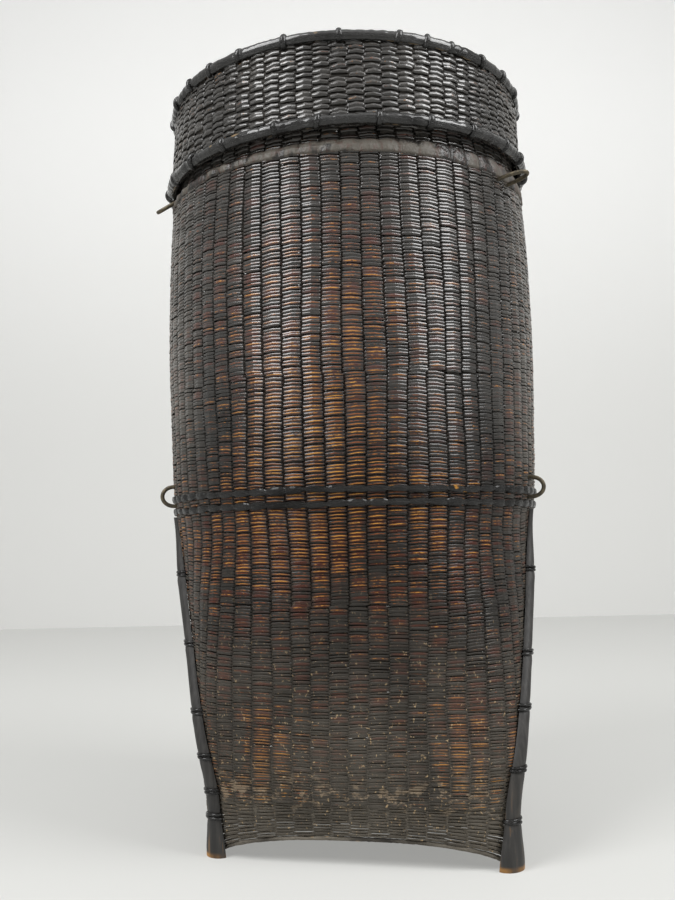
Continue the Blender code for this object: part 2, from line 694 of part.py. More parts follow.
def make_eye_cutters(eye, collection):
    """Two round cutters for the holes that an eye's legs pass through."""
    radial, across, height = eye_axes(eye)
    inner, outer = eye_wall(height)
    made = []
    for side in (-1, 1):
        shape = bmesh.new()
        bmesh.ops.create_cone(shape, cap_ends=True, segments=HOLE_SIDES,
                              radius1=WIRE_RADIUS + EYE_HOLE_CLEARANCE,
                              radius2=WIRE_RADIUS + EYE_HOLE_CLEARANCE,
                              depth=outer - inner + 2 * CUTTER_OVERRUN)
        name = f"{eye}_hole_{'low' if side < 0 else 'high'}"
        mesh = bpy.data.meshes.new(name)
        shape.to_mesh(mesh)
        shape.free()
        cutter = bpy.data.objects.new(name, mesh)
        cutter.rotation_mode = "QUATERNION"
        cutter.rotation_quaternion = radial.to_track_quat("Z", "Y")
        centre = radial * (inner + outer) / 2 + across * side * EYE_WIDTH / 2
        cutter.location = centre + Vector((0, 0, height))
        cutter.hide_render = True
        cutter.display_type = "WIRE"
        collection.objects.link(cutter)
        made.append(cutter)
    return made


def clear_scene():
    for thing in list(bpy.data.objects):
        bpy.data.objects.remove(thing, do_unlink=True)


def make_collection(name):
    collection = bpy.data.collections.new(name)
    bpy.context.scene.collection.children.link(collection)
    return collection


def make_level(name, height, tilt_deg, collection):
    """An empty on the axis that stands the pieces under it out of level."""
    level = bpy.data.objects.new(name, None)
    level.location = (0.0, 0.0, height)
    level.rotation_euler = [math.radians(angle) for angle in tilt_deg]
    collection.objects.link(level)
    return level


def main():
    clear_scene()
    parts = make_collection("grain_storage_basket")
    cutting = make_collection("cutters")
    holes = {eye: make_eye_cutters(eye, cutting) for eye in EYES}
    every_hole = [cutter for pair in holes.values() for cutter in pair]

    mouth_frame = make_level("mouth_level", MOUTH_HEIGHT, MOUTH_TILT_DEG, parts)
    rim_frame = make_level("rim_level", LID_RIM_HEIGHT, RIM_TILT_DEG, parts)

    make_wall(parts, every_hole)
    make_floor(parts)
    make_edge_cane(parts)
    make_band("lower_band", LOWER_BAND_LEVEL, parts)
    make_band("upper_band", UPPER_BAND_LEVEL, parts)
    make_neck_band(parts, holes["upper_eye_left"] + holes["upper_eye_right"])
    make_mouth(parts, mouth_frame)
    make_lid(parts, mouth_frame, rim_frame)
    for leg in LEG_ANGLES_DEG:
        make_leg(leg, parts)
        for number, share in enumerate(LEG_LASHING_SHARES[leg], start=1):
            make_leg_lashing(leg, number, share, parts)
    for eye in EYES:
        make_eye(eye, parts)


main()
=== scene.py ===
"""The looks of a lidded basket for storing grain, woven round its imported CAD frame."""
import math

import bpy
import numpy as np
from bpy.props import FloatProperty, FloatVectorProperty, IntProperty, PointerProperty
from bpy.types import Operator, Panel, PropertyGroup
from mathutils import Euler, Matrix, Vector


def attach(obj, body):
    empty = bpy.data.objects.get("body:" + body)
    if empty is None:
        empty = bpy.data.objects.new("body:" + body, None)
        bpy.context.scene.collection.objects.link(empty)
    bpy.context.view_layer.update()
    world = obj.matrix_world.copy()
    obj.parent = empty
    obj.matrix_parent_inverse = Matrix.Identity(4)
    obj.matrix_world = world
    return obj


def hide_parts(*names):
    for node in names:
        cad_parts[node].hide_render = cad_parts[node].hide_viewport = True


bl_info = {
    "name": "Grain Storage Basket",
    "version": (1, 0, 0),
    "blender": (4, 5, 0),
    "location": "3D View > Sidebar > Basket",
    "description": "Weaves, binds and finishes a lidded basket for storing grain",
    "category": "Object",
}

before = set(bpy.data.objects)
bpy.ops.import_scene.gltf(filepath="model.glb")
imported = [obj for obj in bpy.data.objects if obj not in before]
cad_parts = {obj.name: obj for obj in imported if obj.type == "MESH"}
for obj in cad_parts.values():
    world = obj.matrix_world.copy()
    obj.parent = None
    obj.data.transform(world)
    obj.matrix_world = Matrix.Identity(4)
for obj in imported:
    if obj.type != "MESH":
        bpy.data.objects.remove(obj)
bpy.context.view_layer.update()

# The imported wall's own sizes, repeated here because its shape is a formula
BODY_RADIUS = 0.1203
SHOULDER_HEIGHT = 0.4070
SHOULDER_RISE = 0.0100
NECK_START = SHOULDER_HEIGHT + SHOULDER_RISE
MOUTH_HEIGHT = 0.4690
COLLAR_START = 0.4590
LEAN_START = 0.4064
WALL_THICKNESS = 0.0034
ROUND_HEIGHT = 0.2000
BASE_SQUARE_POWER = 6.0
BASE_RACK_SHARE = 0.208
BASE_SHIFT = -0.0030
HEM_HEIGHT = 0.0300
NECK_RADIUS = 0.1152
MOUTH_RADIUS = 0.1095
PROFILE_SHARES = np.array((
    (0.000, 0.771), (0.075, 0.792), (0.150, 0.825), (0.225, 0.846), (0.300, 0.877),
    (0.375, 0.921), (0.450, 0.965), (0.520, 0.998), (0.610, 1.009), (0.760, 1.020),
    (0.900, 1.011), (1.000, 0.992),
))
EDGE_CORNER_HEIGHT = 0.0042
EDGE_ARCH_RISE = 0.0125
EDGE_ARCH_POWER = 3.0
EDGE_CANE_DROP = 0.0016
FLOOR_HEIGHT = 0.0220
MOUTH_TILT_DEG = (-1.9, -0.6, 0.0)
RIM_TILT_DEG = (0.0, -2.1, 0.0)
LID_RADIUS = 0.1200
LID_TAPER = 0.0022
LID_WALL_HEIGHT = 0.0497
LID_RIM_HEIGHT = 0.4203
LID_LEAN_SHARES = (0.16, 0.84)
LID_PANEL_RISE = 0.0013
LID_CROWN_RISE = 0.0030
LID_PANEL_THICKNESS = 0.0024
RIM_HOOP = (0.1203, 0.0031, 0.0072, 0.0034)
TOP_HOOP = (0.1184, 0.0027, 0.0064, 0.0020)
BANDS = {
    "lower_band": (0.2034, 0.0044),
    "upper_band": (0.2112, 0.0044),
    "neck_band": (0.4090, 0.0090),
}
LEG_HALF_WIDTH = 0.0052
LEG_DEPTH = 0.0045
LEG_TOP = 0.2000
LEG_TOP_SHARE = 0.45
LEG_TAPER_HEIGHT = 0.0450
FOOT_FLARE_SHARE = 1.6
FOOT_DEPTH_SHARE = 1.55
FOOT_FLARE_HEIGHT = 0.0300
LEG_ANGLES_DEG = {
    "front_left": (-45.0, -76.0),
    "front_right": (45.0, 68.0),
    "back_left": (-135.0, -112.0),
    "back_right": (135.0, 104.0),
}
LEFT_LASHING_SHARES = (0.118, 0.190, 0.290, 0.415, 0.610, 0.820)
RIGHT_LASHING_SHARES = (0.132, 0.270, 0.430, 0.575, 0.815)
LEG_LASHING_SHARES = {
    "front_left": LEFT_LASHING_SHARES,
    "front_right": RIGHT_LASHING_SHARES,
    "back_left": RIGHT_LASHING_SHARES,
    "back_right": LEFT_LASHING_SHARES,
}
TOUCH_GAP = 0.0003
LEG_SEAT_GAP = 0.0004
WIRE_RADIUS = 0.0013
EYE_WIDTH = 0.0125
CLINCH_GAP = 0.0018
CLINCH_LENGTH = 0.0060
EYES = {
    "middle_eye_left": (-76.0, 0.0094, 0.0, 0.0, 0.21355),
    "middle_eye_right": (64.5, 0.0109, 0.0, 0.0, 0.21355),
    "upper_eye_left": (-78.0, 0.0138, 33.0, -18.0, 0.4111),
    "upper_eye_right": (54.0, 0.0175, -8.0, 0.0, 0.4035),
}

# Where the wraps sit on the lid's two hoops, in degrees from the front
RIM_WRAPS_DEG = (-38.0, -20.5, -8.4, 8.5, 23.4)
TOP_WRAPS_DEG = (-56.0, -45.0, -33.0, -18.0, -2.0, 15.0, 23.6, 32.0, 45.0, 57.0)
FIRST_COLUMN_DEG = -2.8125    # half a column, so that each column sits on a rib
SQUARE_SPREAD_SHARE = 0.5    # how far the columns spread evenly along the base's sides
WEFT_PHASES = np.array((0.07, 0.50, 0.93))    # where a strand's points lie across a column
WEFT_ARCH = np.array((0.0, 1.0, 0.0))
SEED = 11


def a_length(label, text, default):
    return FloatProperty(name=label, description=text, default=default, unit="LENGTH")


def a_share(label, text, default):
    return FloatProperty(name=label, description=text, default=default, subtype="FACTOR")


def a_power(label, default):
    return FloatProperty(name=label, description="Watts", default=default, unit="POWER")


def a_count(label, text, default):
    return IntProperty(name=label, description=text, default=default, min=4, max=200)


def a_colour(label, text, default):
    return FloatVectorProperty(name=label, description=text, default=default,
                               subtype="COLOR", size=3, min=0.0, max=1.0)


class BasketSizes(PropertyGroup):
    """Sizes of the weave and its bindings."""

    columns: a_count("Body stakes", "Upright stakes round the body, an even number", 64)
    row_pitch: a_length("Body row pitch", "Height from row to row, up high", 0.00104)
    foot_pitch: a_length("Foot row pitch", "Height from row to row near the feet", 0.0008)
    row_fill: a_share("Row fill", "Height of a crest over the two rows it has room for", 0.90)
    hem_rows: a_count("Hem rows", "Weft rows between the arched edge and the body", 22)
    neck_pitch: a_length("Neck row pitch", "Height between weft rows under the lid", 0.0014)
    weft_thickness: a_length("Weft thickness", "Thickness of a weft strand", 0.0009)
    lid_columns: a_count("Lid stakes", "Upright stakes round the lid, an even number", 74)
    lid_pitch: a_length("Lid row pitch", "Height from row to row on the lid", 0.0016)
    wander: a_length("Wander", "How far hand-woven rows stray from level", 0.0007)
    wrap_width: a_length("Wrap width", "Width of the cane that binds hoops", 0.0036)
    wrap_thickness: a_length("Wrap thickness", "Thickness of the cane that binds hoops", 0.0012)
    floor_strips: a_count("Floor strips", "Strips each way across the woven floor", 18)


class BasketColours(PropertyGroup):
    """Colours of the basket's finishes."""

    char: a_colour("Char", "Smoke-blackened cane", (0.015, 0.013, 0.011))
    # Dust also paints the sheen on the body's left and right sides
    dust: a_colour("Dust", "Grey dust between the strands", (0.170, 0.150, 0.121))
    worn: a_colour("Worn cane", "Bare cane on worn crests", (0.500, 0.235, 0.045))
    russet: a_colour("Russet", "Darker worn cane", (0.215, 0.060, 0.018))
    smoked: a_colour("Smoked cane", "Dark red cane under the soot", (0.060, 0.013, 0.006))
    straw: a_colour("Straw", "Pale bare cane", (0.420, 0.300, 0.170))
    earth: a_colour("Earth", "Dry earth near the feet", (0.250, 0.190, 0.130))
    lacquer: a_colour("Lacquer", "Glossy black of hoops and bands", (0.006, 0.0055, 0.005))
    bamboo: a_colour("Bamboo", "Blackened bamboo legs", (0.015, 0.014, 0.013))
    wire: a_colour("Wire", "Dulled wire of the eyes", (0.150, 0.125, 0.085))
    # The wall's and the floor's two colours paint a falloff of light: the wall lighter high up,
    # the floor a little darker near the front
    wall: a_colour("Wall", "Studio wall low down", (0.680, 0.680, 0.666))
    wall_high_lit: a_colour("High wall", "Studio wall high up", (0.885, 0.885, 0.877))
    ground: a_colour("Ground", "Studio floor far off", (0.730, 0.732, 0.709))
    ground_near_dim: a_colour("Near ground", "Studio floor in front", (0.700, 0.702, 0.681))


class StudioSettings(PropertyGroup):
    """The camera's place and the studio's light."""

    camera: FloatVectorProperty(
        name="Camera", description="Where the camera stands", size=3, subtype="XYZ",
        unit="LENGTH", default=(-0.0105, -0.6430, 0.1850))
    pitch: FloatProperty(
        name="Pitch", description="How far the camera looks up", subtype="ANGLE",
        default=math.atan2(87.0, 945.0))
    roll: FloatProperty(
        name="Roll", description="How far the camera leans to one side", subtype="ANGLE",
        default=math.radians(1.3))
    lens: FloatProperty(name="Lens", description="Focal length in mm", default=37.8)
    wall_distance: a_length("Wall distance", "From the basket back to the wall", 1.45)
    left_power: a_power("Left lamp", 18.5)
    right_power: a_power("Right lamp", 18.0)
    top_power: a_power("Top lamp", 3.0)
    world: a_share("World", "Strength of the room's light", 0.48)
    backdrop: a_share("Backdrop", "Brightness of the room seen past the wall and floor", 0.60)
    wall_glow: a_share("Wall glow", "Share of the wall's paint that shows without a lamp", 0.27)
    floor_glow: a_share("Floor glow", "Share of the floor's paint that shows without a lamp", 0.45)
    dim_share: a_share("Dim share", "How dim the room is low down, behind the camera", 0.12)


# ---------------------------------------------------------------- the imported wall's shape

def eased(share):
    """A smooth step from 0 to 1."""
    share = np.clip(share, 0.0, 1.0)
    return share * share * (3 - 2 * share)


def mixed(start, end, share):
    return start + (end - start) * share


def body_radius(height):
    """Outer radius, or half width of the plan, at heights up to the shoulder."""
    x, y = PROFILE_SHARES.T
    slope = np.gradient(y, x)
    slope[1:-1] = (y[2:] - y[:-2]) / (x[2:] - x[:-2])
    at = np.clip(np.asarray(height) / SHOULDER_HEIGHT, 0.0, 1.0)
    i = np.clip(np.searchsorted(x, at, side="right") - 1, 0, len(x) - 2)
    span = x[i + 1] - x[i]
    t = (at - x[i]) / span
    bend = slope[i] * span * t * (1 - t) ** 2 + slope[i + 1] * span * t * t * (t - 1)
    return BODY_RADIUS * (mixed(y[i], y[i + 1], eased(t)) + bend)


def wall_radius(height):
    """Outer radius anywhere up to the mouth."""
    height = np.asarray(height)
    neck = mixed(NECK_RADIUS, MOUTH_RADIUS,
                 (height - NECK_START) / (MOUTH_HEIGHT - NECK_START))
    rise = mixed(body_radius(height), NECK_RADIUS,
                 eased((height - SHOULDER_HEIGHT) / SHOULDER_RISE))
    return np.where(height <= NECK_START, rise, neck)


def plan_point(azimuth, height, inset=0.0):
    """Points of the plan at azimuths from the front, inset from the outer face."""
    azimuth, height = np.broadcast_arrays(azimuth, height)
    squareness = 1 - eased(height / ROUND_HEIGHT)
    power = mixed(2.0, BASE_SQUARE_POWER, squareness)
    side, front = np.sin(azimuth), np.cos(azimuth)
    radius = wall_radius(height) - inset
    radius = radius / (np.abs(side) ** power + np.abs(front) ** power) ** (1 / power)
    x = radius * side
    y = -radius * front - BASE_RACK_SHARE * squareness * x
    return np.stack((x + BASE_SHIFT * squareness, y, height), -1)


def turned_out(points, tilt_deg, level):
    """Points turned out of level about the upright axis's point at a level."""
    turn = np.array(Euler([math.radians(angle) for angle in tilt_deg]).to_matrix())
    middle = np.array((0.0, 0.0, level))
    return (points - middle) @ turn.T + middle


def leaned(points, share):
    """Points tilted with the lid's rim at share 0 and with the mouth at share 1."""
    rim = turned_out(points, RIM_TILT_DEG, LID_RIM_HEIGHT)
    mouth = turned_out(points, MOUTH_TILT_DEG, MOUTH_HEIGHT)
    return mixed(rim, mouth, eased(share)[..., None])


def wall_point(azimuth, height, inset=0.0):
    """Points of the wall, out of level from the shoulder up."""
    point = plan_point(azimuth, height, inset)
    level = point[..., 2]
    share = eased((level - LEAN_START) / (NECK_START - LEAN_START))
    lean = leaned(point, (level - NECK_START) / (COLLAR_START - NECK_START))
    return mixed(point, lean, share[..., None])


def edge_height(azimuth):
    """Height of the arched lower edge of the wall."""
    side, front = np.abs(np.sin(azimuth)), np.abs(np.cos(azimuth))
    share = np.minimum(side, front) / np.maximum(side, front)
    return EDGE_CORNER_HEIGHT + EDGE_ARCH_RISE * (1 - share ** EDGE_ARCH_POWER)


def skin_point(azimuth, height, inset=0.0):
    """Points of the whole wall, straight between its lower edge and the hem's top."""
    azimuth, height = np.broadcast_arrays(azimuth, height)
    edge = edge_height(azimuth)
    share = (height - edge) / (HEM_HEIGHT - edge)
    low = plan_point(azimuth, edge, inset)
    high = plan_point(azimuth, np.full_like(edge, HEM_HEIGHT), inset)
    hem = mixed(low, high, share[..., None])
    return np.where((height < HEM_HEIGHT)[..., None], hem, wall_point(azimuth, height, inset))


def column_azimuth(turn, height, columns):
    """Azimuth of a place counted in columns, which spread out along the base's sides."""
    azimuth = math.radians(FIRST_COLUMN_DEG) + math.tau * turn / columns
    middle = np.round(azimuth / (math.pi / 2)) * (math.pi / 2)
    even = middle + np.arctan((azimuth - middle) / (math.pi / 4))
    squareness = 1 - eased(height / ROUND_HEIGHT)
    return mixed(azimuth, even, SQUARE_SPREAD_SHARE * squareness)


def lid_point(azimuth, share, inset=0.0):
    """Points of the lid's woven wall at a share of its height above the rim."""
    radius = LID_RADIUS - LID_TAPER * share - inset
    point = np.stack(np.broadcast_arrays(
        radius * np.sin(azimuth), -radius * np.cos(azimuth),
        LID_RIM_HEIGHT + LID_WALL_HEIGHT * share), -1)
    low, high = LID_LEAN_SHARES
    return leaned(point, (share - low) / (high - low))


def crown_point(azimuth, radius, inset=0.0):
    """Points of the lid's crowned top."""
    share = radius / (LID_RADIUS - LID_TAPER)
    height = MOUTH_HEIGHT + LID_PANEL_RISE + LID_CROWN_RISE * (1 - share ** 2)
    point = np.stack(np.broadcast_arrays(
        radius * np.sin(azimuth), -radius * np.cos(azimuth),
        height + LID_PANEL_THICKNESS - inset), -1)
    return turned_out(point, MOUTH_TILT_DEG, MOUTH_HEIGHT)


# ---------------------------------------------------------------- meshes

SHARP_DEG = 60.0

# How far a crest of weft strays, as shares of its height, width or thickness
CREST_ARCH, CREST_LEAN, CREST_BUMP = 0.14, 0.10, 0.11
CREST_BOUNDS = (-0.32, 0.40)
CREST_SWELL, ROW_SWELL = 0.17, 0.12
SWELL_BOUNDS = (-0.36, 0.14)
CREST_BELLY, CREST_DEPTH = 0.35, 0.10
COLUMN_STRAY, COLUMN_DRIFT = 0.018, 0.08
CROSSING_MARK = 0.75    # the lift mark at a crest's ends
STAKE_BODY = (0.72, 0.0014, 0.0006)    # share of a column's width, inset and thickness
STAKE_LID = (0.72, 0.0010, 0.0005)
STAKE_LID_TOP = (0.66, 0.0010, 0.0005)


def shade_strands(mesh):
    """Shades a weave's strands as flat cane with round edges that dives between columns."""
    ends = np.empty(len(mesh.edges) * 2, np.int32)
    mesh.edges.foreach_get("vertices", ends)
    ring = ends.reshape(-1, 2) // 3
    within = (ring[:, 0] == ring[:, 1]) & (ring[:, 0] % len(WEFT_PHASES) != 1)
    layer = mesh.attributes.new("sharp_edge", "BOOLEAN", "EDGE")
    layer.data.foreach_set("value", within)
    corners = np.empty(len(mesh.loops) * 3, np.float32)
    mesh.corner_normals.foreach_get("vector", corners)
    flat = np.empty(len(mesh.polygons) * 3, np.float32)
    mesh.polygon_normals.foreach_get("vector", flat)
    sizes = np.empty(len(mesh.polygons), np.int32)
    mesh.polygons.foreach_get("loop_total", sizes)
    normals = corners.reshape(-1, 3) + np.repeat(flat.reshape(-1, 3), sizes, 0)
    normals /= np.linalg.norm(normals, axis=1)[:, None]
    mesh.normals_split_custom_set(normals.tolist())


def made_piece(name, shape, finish, replaced=(), body="basket", marks=None, strands=False):
    """A smooth piece of points and faces that rides on a body."""
    points, faces = shape
    mesh = bpy.data.meshes.new(name)
    mesh.vertices.add(len(points))
    mesh.vertices.foreach_set("co", np.asarray(points, np.float32).ravel())
    loops = np.concatenate([np.asarray(face, np.int32).ravel() for face in faces])
    sizes = np.concatenate([np.full(len(face), face.shape[1]) for face in faces])
    starts = np.concatenate(([0], np.cumsum(sizes)[:-1]))
    mesh.loops.add(len(loops))
    mesh.loops.foreach_set("vertex_index", loops)
    mesh.polygons.add(len(sizes))
    mesh.polygons.foreach_set("loop_start", starts.astype(np.int32))
    mesh.update(calc_edges=True)
    mesh.validate()
    mesh.shade_smooth()
    if strands:
        shade_strands(mesh)
    else:
        mesh.set_sharp_from_angle(angle=math.radians(SHARP_DEG))
    if marks is not None:
        layer = mesh.attributes.new("weave", "FLOAT_COLOR", "POINT")
        layer.data.foreach_set("color", np.asarray(marks, np.float32).ravel())
    mesh.materials.append(finish_of(finish))
    piece = bpy.data.objects.new(name, mesh)
    bpy.context.scene.collection.objects.link(piece)
    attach(piece, body)
    if replaced:
        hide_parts(*replaced)


def woven_piece(name, weaves, finish, replaced=(), body="basket"):
    """A piece of weft from the rings and marks of one or more weaves."""
    rings = [ring for weave, _ in weaves for ring in weave]
    marks = np.concatenate([mark for _, mark in weaves])
    made_piece(name, tubes(rings, True), finish, replaced, body, marks, True)


def grid_quads(rings, section, closed):
    """Quads between rings of equal sections, outward where a section turns clockwise."""
    last = rings if closed else rings - 1
    i, j = np.meshgrid(np.arange(last), np.arange(section), indexing="ij")
    near, far = i * section, (i + 1) % rings * section
    k = (j + 1) % section
    return np.stack((near + j, near + k, far + k, far + j), -1).reshape(-1, 4)


def tubes(sections, closed):
    """Points and faces of tubes, each rings of one equal section, capped if open."""
    points, quads, caps, base = [], [], [], 0
    for tube in sections:
        rings, section = tube.shape[:2]
        points.append(tube.reshape(-1, 3))
        quads.append(grid_quads(rings, section, closed) + base)
        first = np.arange(section)
        caps.append(np.stack((first[::-1], first + (rings - 1) * section)) + base)
        base += rings * section
    faces = [np.concatenate(quads)] + ([] if closed else [np.concatenate(caps)])
    return np.concatenate(points), faces


def swept(centres, sides, outs, profile, scale=None):
    """Rings of a profile of (sideways, outward) points along a path."""
    profile = np.asarray(profile, float)
    if scale is not None:
        profile = profile * scale[:, None]
    across, reach = profile[..., :1], profile[..., 1:]
    return centres[:, None] + sides[:, None] * across + outs[:, None] * reach


def half_round(width, depth, steps):
    """A half-round profile, from one side over its crown to the other."""
    turn = np.linspace(0.0, math.pi, steps)
    return np.stack((width / 2 * np.cos(turn), depth * np.sin(turn)), -1)


def round_profile(radius, sides):
    turn = np.arange(sides) * math.tau / sides
    return np.stack((radius * np.cos(turn), radius * np.sin(turn)), -1)


def unit(vectors):
    """Vectors of length 1."""
    return vectors / np.linalg.norm(vectors, axis=1)[:, None]


def upward(vectors):
    """As many upright directions."""
    return np.broadcast_to((0.0, 0.0, 1.0), vectors.shape)


def around(azimuth):
    """Outward and sideways directions at azimuths from the front."""
    side, front, level = np.sin(azimuth), np.cos(azimuth), np.zeros_like(azimuth)
    return np.stack((side, -front, level), -1), np.stack((front, side, level), -1)


def drift(rng, turn, level, size, waves=6):
    """A slow random field over a woven surface, whose turn runs from 0 to 1 around it."""
    total = 0.0
    for _ in range(waves):
        times, phase = rng.integers(2, 11), rng.uniform(0.0, math.tau)
        climb = rng.uniform(-1.0, 1.0) * math.tau / 0.09
        total = total + np.sin(math.tau * times * turn + climb * level + phase)
    return size * total / math.sqrt(waves)


def weft(skin, columns, levels, cane, rng, first_row=0, wander=0.0, round_ends=0.12):
    """Rings of weft that pass over and under stakes, and each point's marks.

    skin(turn, level, inset) places a point, cane is (crest height, crossing height,
    thickness, crest inset, under inset). Marks are across, lift and two random tones.
    """
    crest_height, under_height, thickness, crest_inset, under_inset = cane
    rows, phases = len(levels), len(WEFT_PHASES)
    levels = np.asarray(levels)[:, None]
    arch = np.tile(WEFT_ARCH, columns)

    def each_point(values):
        return np.repeat(values, phases, axis=2).reshape(rows, -1)

    row, column = np.meshgrid(np.arange(rows) + first_row, np.arange(columns), indexing="ij")
    lift = each_point(((row + column) % 2)[..., None])
    bumps = rng.normal(0.0, 1.0, (5, rows, columns, 1))
    lean = rng.normal(0.0, 0.5, columns)[:, None] + bumps[0]
    shape = np.clip(CREST_ARCH * WEFT_ARCH + CREST_LEAN * lean * (WEFT_PHASES - 0.5)
                    + CREST_BUMP * bumps[1], *CREST_BOUNDS)
    place = (np.arange(columns)[:, None] + WEFT_PHASES + COLUMN_STRAY * bumps[2]).reshape(rows, -1)
    level = levels + drift(rng, place / columns, levels, wander)
    level = level + shape.reshape(rows, -1) * lift * crest_height
    half = mixed(under_height, crest_height, lift) / 2
    swell = np.clip(CREST_SWELL * bumps[3] + ROW_SWELL * rng.normal(0.0, 1.0, (rows, 1, 1)),
                    *SWELL_BOUNDS)
    half = half * (1 + each_point(swell) * lift)
    ends = round_ends * (1 - arch) * lift
    half = half * (1 - ends)
    outer = mixed(under_inset, crest_inset, lift) + ends * thickness
    outer = outer - thickness * (CREST_BELLY * arch + CREST_DEPTH * each_point(bumps[4])) * lift
    turn = place + COLUMN_DRIFT * drift(rng, place / columns, level, 1.0)
    section = ((half, outer, 0.0), (-half, outer, 1.0), (0.0, outer + thickness, 0.5))
    points = np.stack([skin(turn, level + rise, inset) for rise, inset, _ in section], 2)
    marks = np.zeros(points.shape[:3] + (4,))
    tones = rng.uniform(0.0, 1.0, (rows, columns, 2)).repeat(phases, axis=1)
    for k, (_, _, across) in enumerate(section):
        marks[:, :, k, 0] = across
        marks[:, :, k, 1] = lift * (across != 0.5) * (CROSSING_MARK + (1 - CROSSING_MARK) * arch)
        marks[:, :, k, 2:] = tones
    return points, marks.reshape(-1, 4)


def stakes(skin, columns, low, high, steps, size):
    """Flat upright stakes, one behind each column."""
    width_share, inset, thickness = size
    level = np.linspace(low, high, steps)
    corners = ((-1, 0), (-1, 1), (1, 1), (1, 0))
    return [np.stack([skin(np.full(steps, column + 0.5 + side * width_share / 2), level,
                           inset + thickness * depth) for side, depth in corners], 1)
            for column in range(columns)]


def body_skin(columns):
    def place(turn, level, inset):
        return skin_point(column_azimuth(turn, level, columns), level, inset)
    return place


def hem_skin(columns, top):
    """As the body's, but level runs from 0 at the arched edge to 1 at the hem's top."""
    def place(turn, share, inset):
        azimuth = column_azimuth(turn, np.zeros_like(turn), columns)
        level = mixed(edge_height(azimuth), top, share)
        return skin_point(column_azimuth(turn, level, columns), level, inset)
    return place


# ---------------------------------------------------------------- finishes

BLACK = (0.0, 0.0, 0.0)


def dimmed(colour, share):
    """A colour taken down or, past 1, up."""
    return [part * share for part in colour]


class Signal:
    """A shader socket in an expression: arithmetic on it adds Math nodes."""

    def __init__(self, finish, socket):
        self.finish, self.socket = finish, socket

    def math(self, operation, first, second=0.0):
        return self.finish.node("ShaderNodeMath", {"operation": operation},
                                {0: first, 1: second})

    def __add__(self, other):
        return self.math("ADD", self, other)

    def __sub__(self, other):
        return self.math("SUBTRACT", self, other)

    def __rsub__(self, other):
        return self.math("SUBTRACT", other, self)

    def __mul__(self, other):
        return self.math("MULTIPLY", self, other)

    def __abs__(self):
        return self.math("ABSOLUTE", self)

    __radd__ = __add__
    __rmul__ = __mul__

    def output(self, key):
        """Another output of the same node."""
        return Signal(self.finish, self.socket.node.outputs[key])

    def ramp(self, low, high):
        """0 up to low, 1 from high on and smooth between; low may be the larger."""
        if low > high:
            return 1 - self.ramp(high, low)
        return self.finish.node(
            "ShaderNodeMapRange", {"interpolation_type": "SMOOTHSTEP"},
            {"Value": self, "From Min": low, "From Max": high, "To Min": 0.0, "To Max": 1.0})

    def hump(self, middle, reach):
        """1 at a middle, falling to 0 at a reach each way."""
        return abs(self - middle).ramp(reach, 0.0)


class Finish:
    """A procedural material, its coordinates and the nodes that make it."""

    def __init__(self, name, owner=None, space="Object"):
        self.material = owner or bpy.data.materials.new(name)
        self.material.use_nodes = True
        self.tree = self.material.node_tree
        self.shader = self.tree.nodes["Background" if owner else "Principled BSDF"]
        self.point = self.node("ShaderNodeTexCoord", output=space)
        self.x = self.node("ShaderNodeSeparateXYZ", sockets={0: self.point})
        self.y, self.z = self.x.output(1), self.x.output(2)

    def node(self, kind, settings=None, sockets=None, output=0):
        """Adds a node, sets its settings first and then its sockets, and gives an output."""
        made = self.tree.nodes.new(kind)
        for key, value in (settings or {}).items():
            setattr(made, key, value)
        for key, value in (sockets or {}).items():
            self.join(made.inputs[key], value)
        return Signal(self, made.outputs[output])

    def join(self, socket, value):
        if isinstance(value, Signal):
            self.tree.links.new(value.socket, socket)
        elif socket.type == "RGBA" and len(value) == 3:
            socket.default_value = (*value, 1.0)
        else:
            socket.default_value = value

    def blend(self, first, second, share):
        """A colour mixed from two colours."""
        return self.node("ShaderNodeMix", {"data_type": "RGBA"},
                         {0: share, 6: first, 7: second}, 2)

    def noise(self, scale, detail, rough=0.5, upright=1.0, shift=0.0):
        """A noise value, upright times as fine in height as across."""
        at = self.node("ShaderNodeVectorMath", {"operation": "MULTIPLY_ADD"},
                       {0: self.point, 1: (1.0, 1.0, upright), 2: (shift, shift, shift)})
        return self.node("ShaderNodeTexNoise", {}, {
            "Vector": at, "Scale": scale, "Detail": detail, "Roughness": rough})

    def seen(self):
        """1 for what the camera sees, straight, mirrored or through something, else 0."""
        camera = self.node("ShaderNodeLightPath", output="Is Camera Ray")
        mirrored, through = camera.output("Is Glossy Ray"), camera.output("Is Transmission Ray")
        return (camera + mirrored + through).ramp(0.0, 1.0)

    def marks(self):
        """A woven piece's across, lift and two tones."""
        data = self.node("ShaderNodeAttribute", {"attribute_name": "weave"}, output="Color")
        across = self.node("ShaderNodeSeparateColor", sockets={0: data})
        return across, across.output(1), across.output(2), data.output("Alpha")

    def set(self, **sockets):
        """Sets the shader's sockets, written with underscores for spaces."""
        for key, value in sockets.items():
            self.join(self.shader.inputs[key.replace("_", " ")], value)

    def bump(self, height, strength, distance):
        self.set(Normal=self.node("ShaderNodeBump", {}, {
            "Strength": strength, "Distance": distance, "Height": height}))


def body_wear(finish):
    """How worn the body's weave is, from 0 to 1, by place and in broad patches."""
    x, z = finish.x, finish.z
    patches = finish.noise(22.0, 4.0, 0.6, 0.45, 2.3)
    streaks = finish.noise(62.0, 2.0, 0.5, 0.22, 7.7)
    side = x.ramp(0.060, -0.030) * x.ramp(-0.085, -0.038)
    wear = z.hump(0.265, 0.160) * (side * 0.46 + 0.14)
    wear = wear + z.hump(0.185, 0.070) * x.ramp(0.100, 0.045) * 0.27
    foot = z.hump(0.060, 0.056) * abs(x).hump(0.062, 0.058) * streaks.ramp(0.36, 0.54)
    return (wear + 0.05) * (patches.ramp(0.25, 0.62) * 0.85 + 0.40) + foot * 0.62


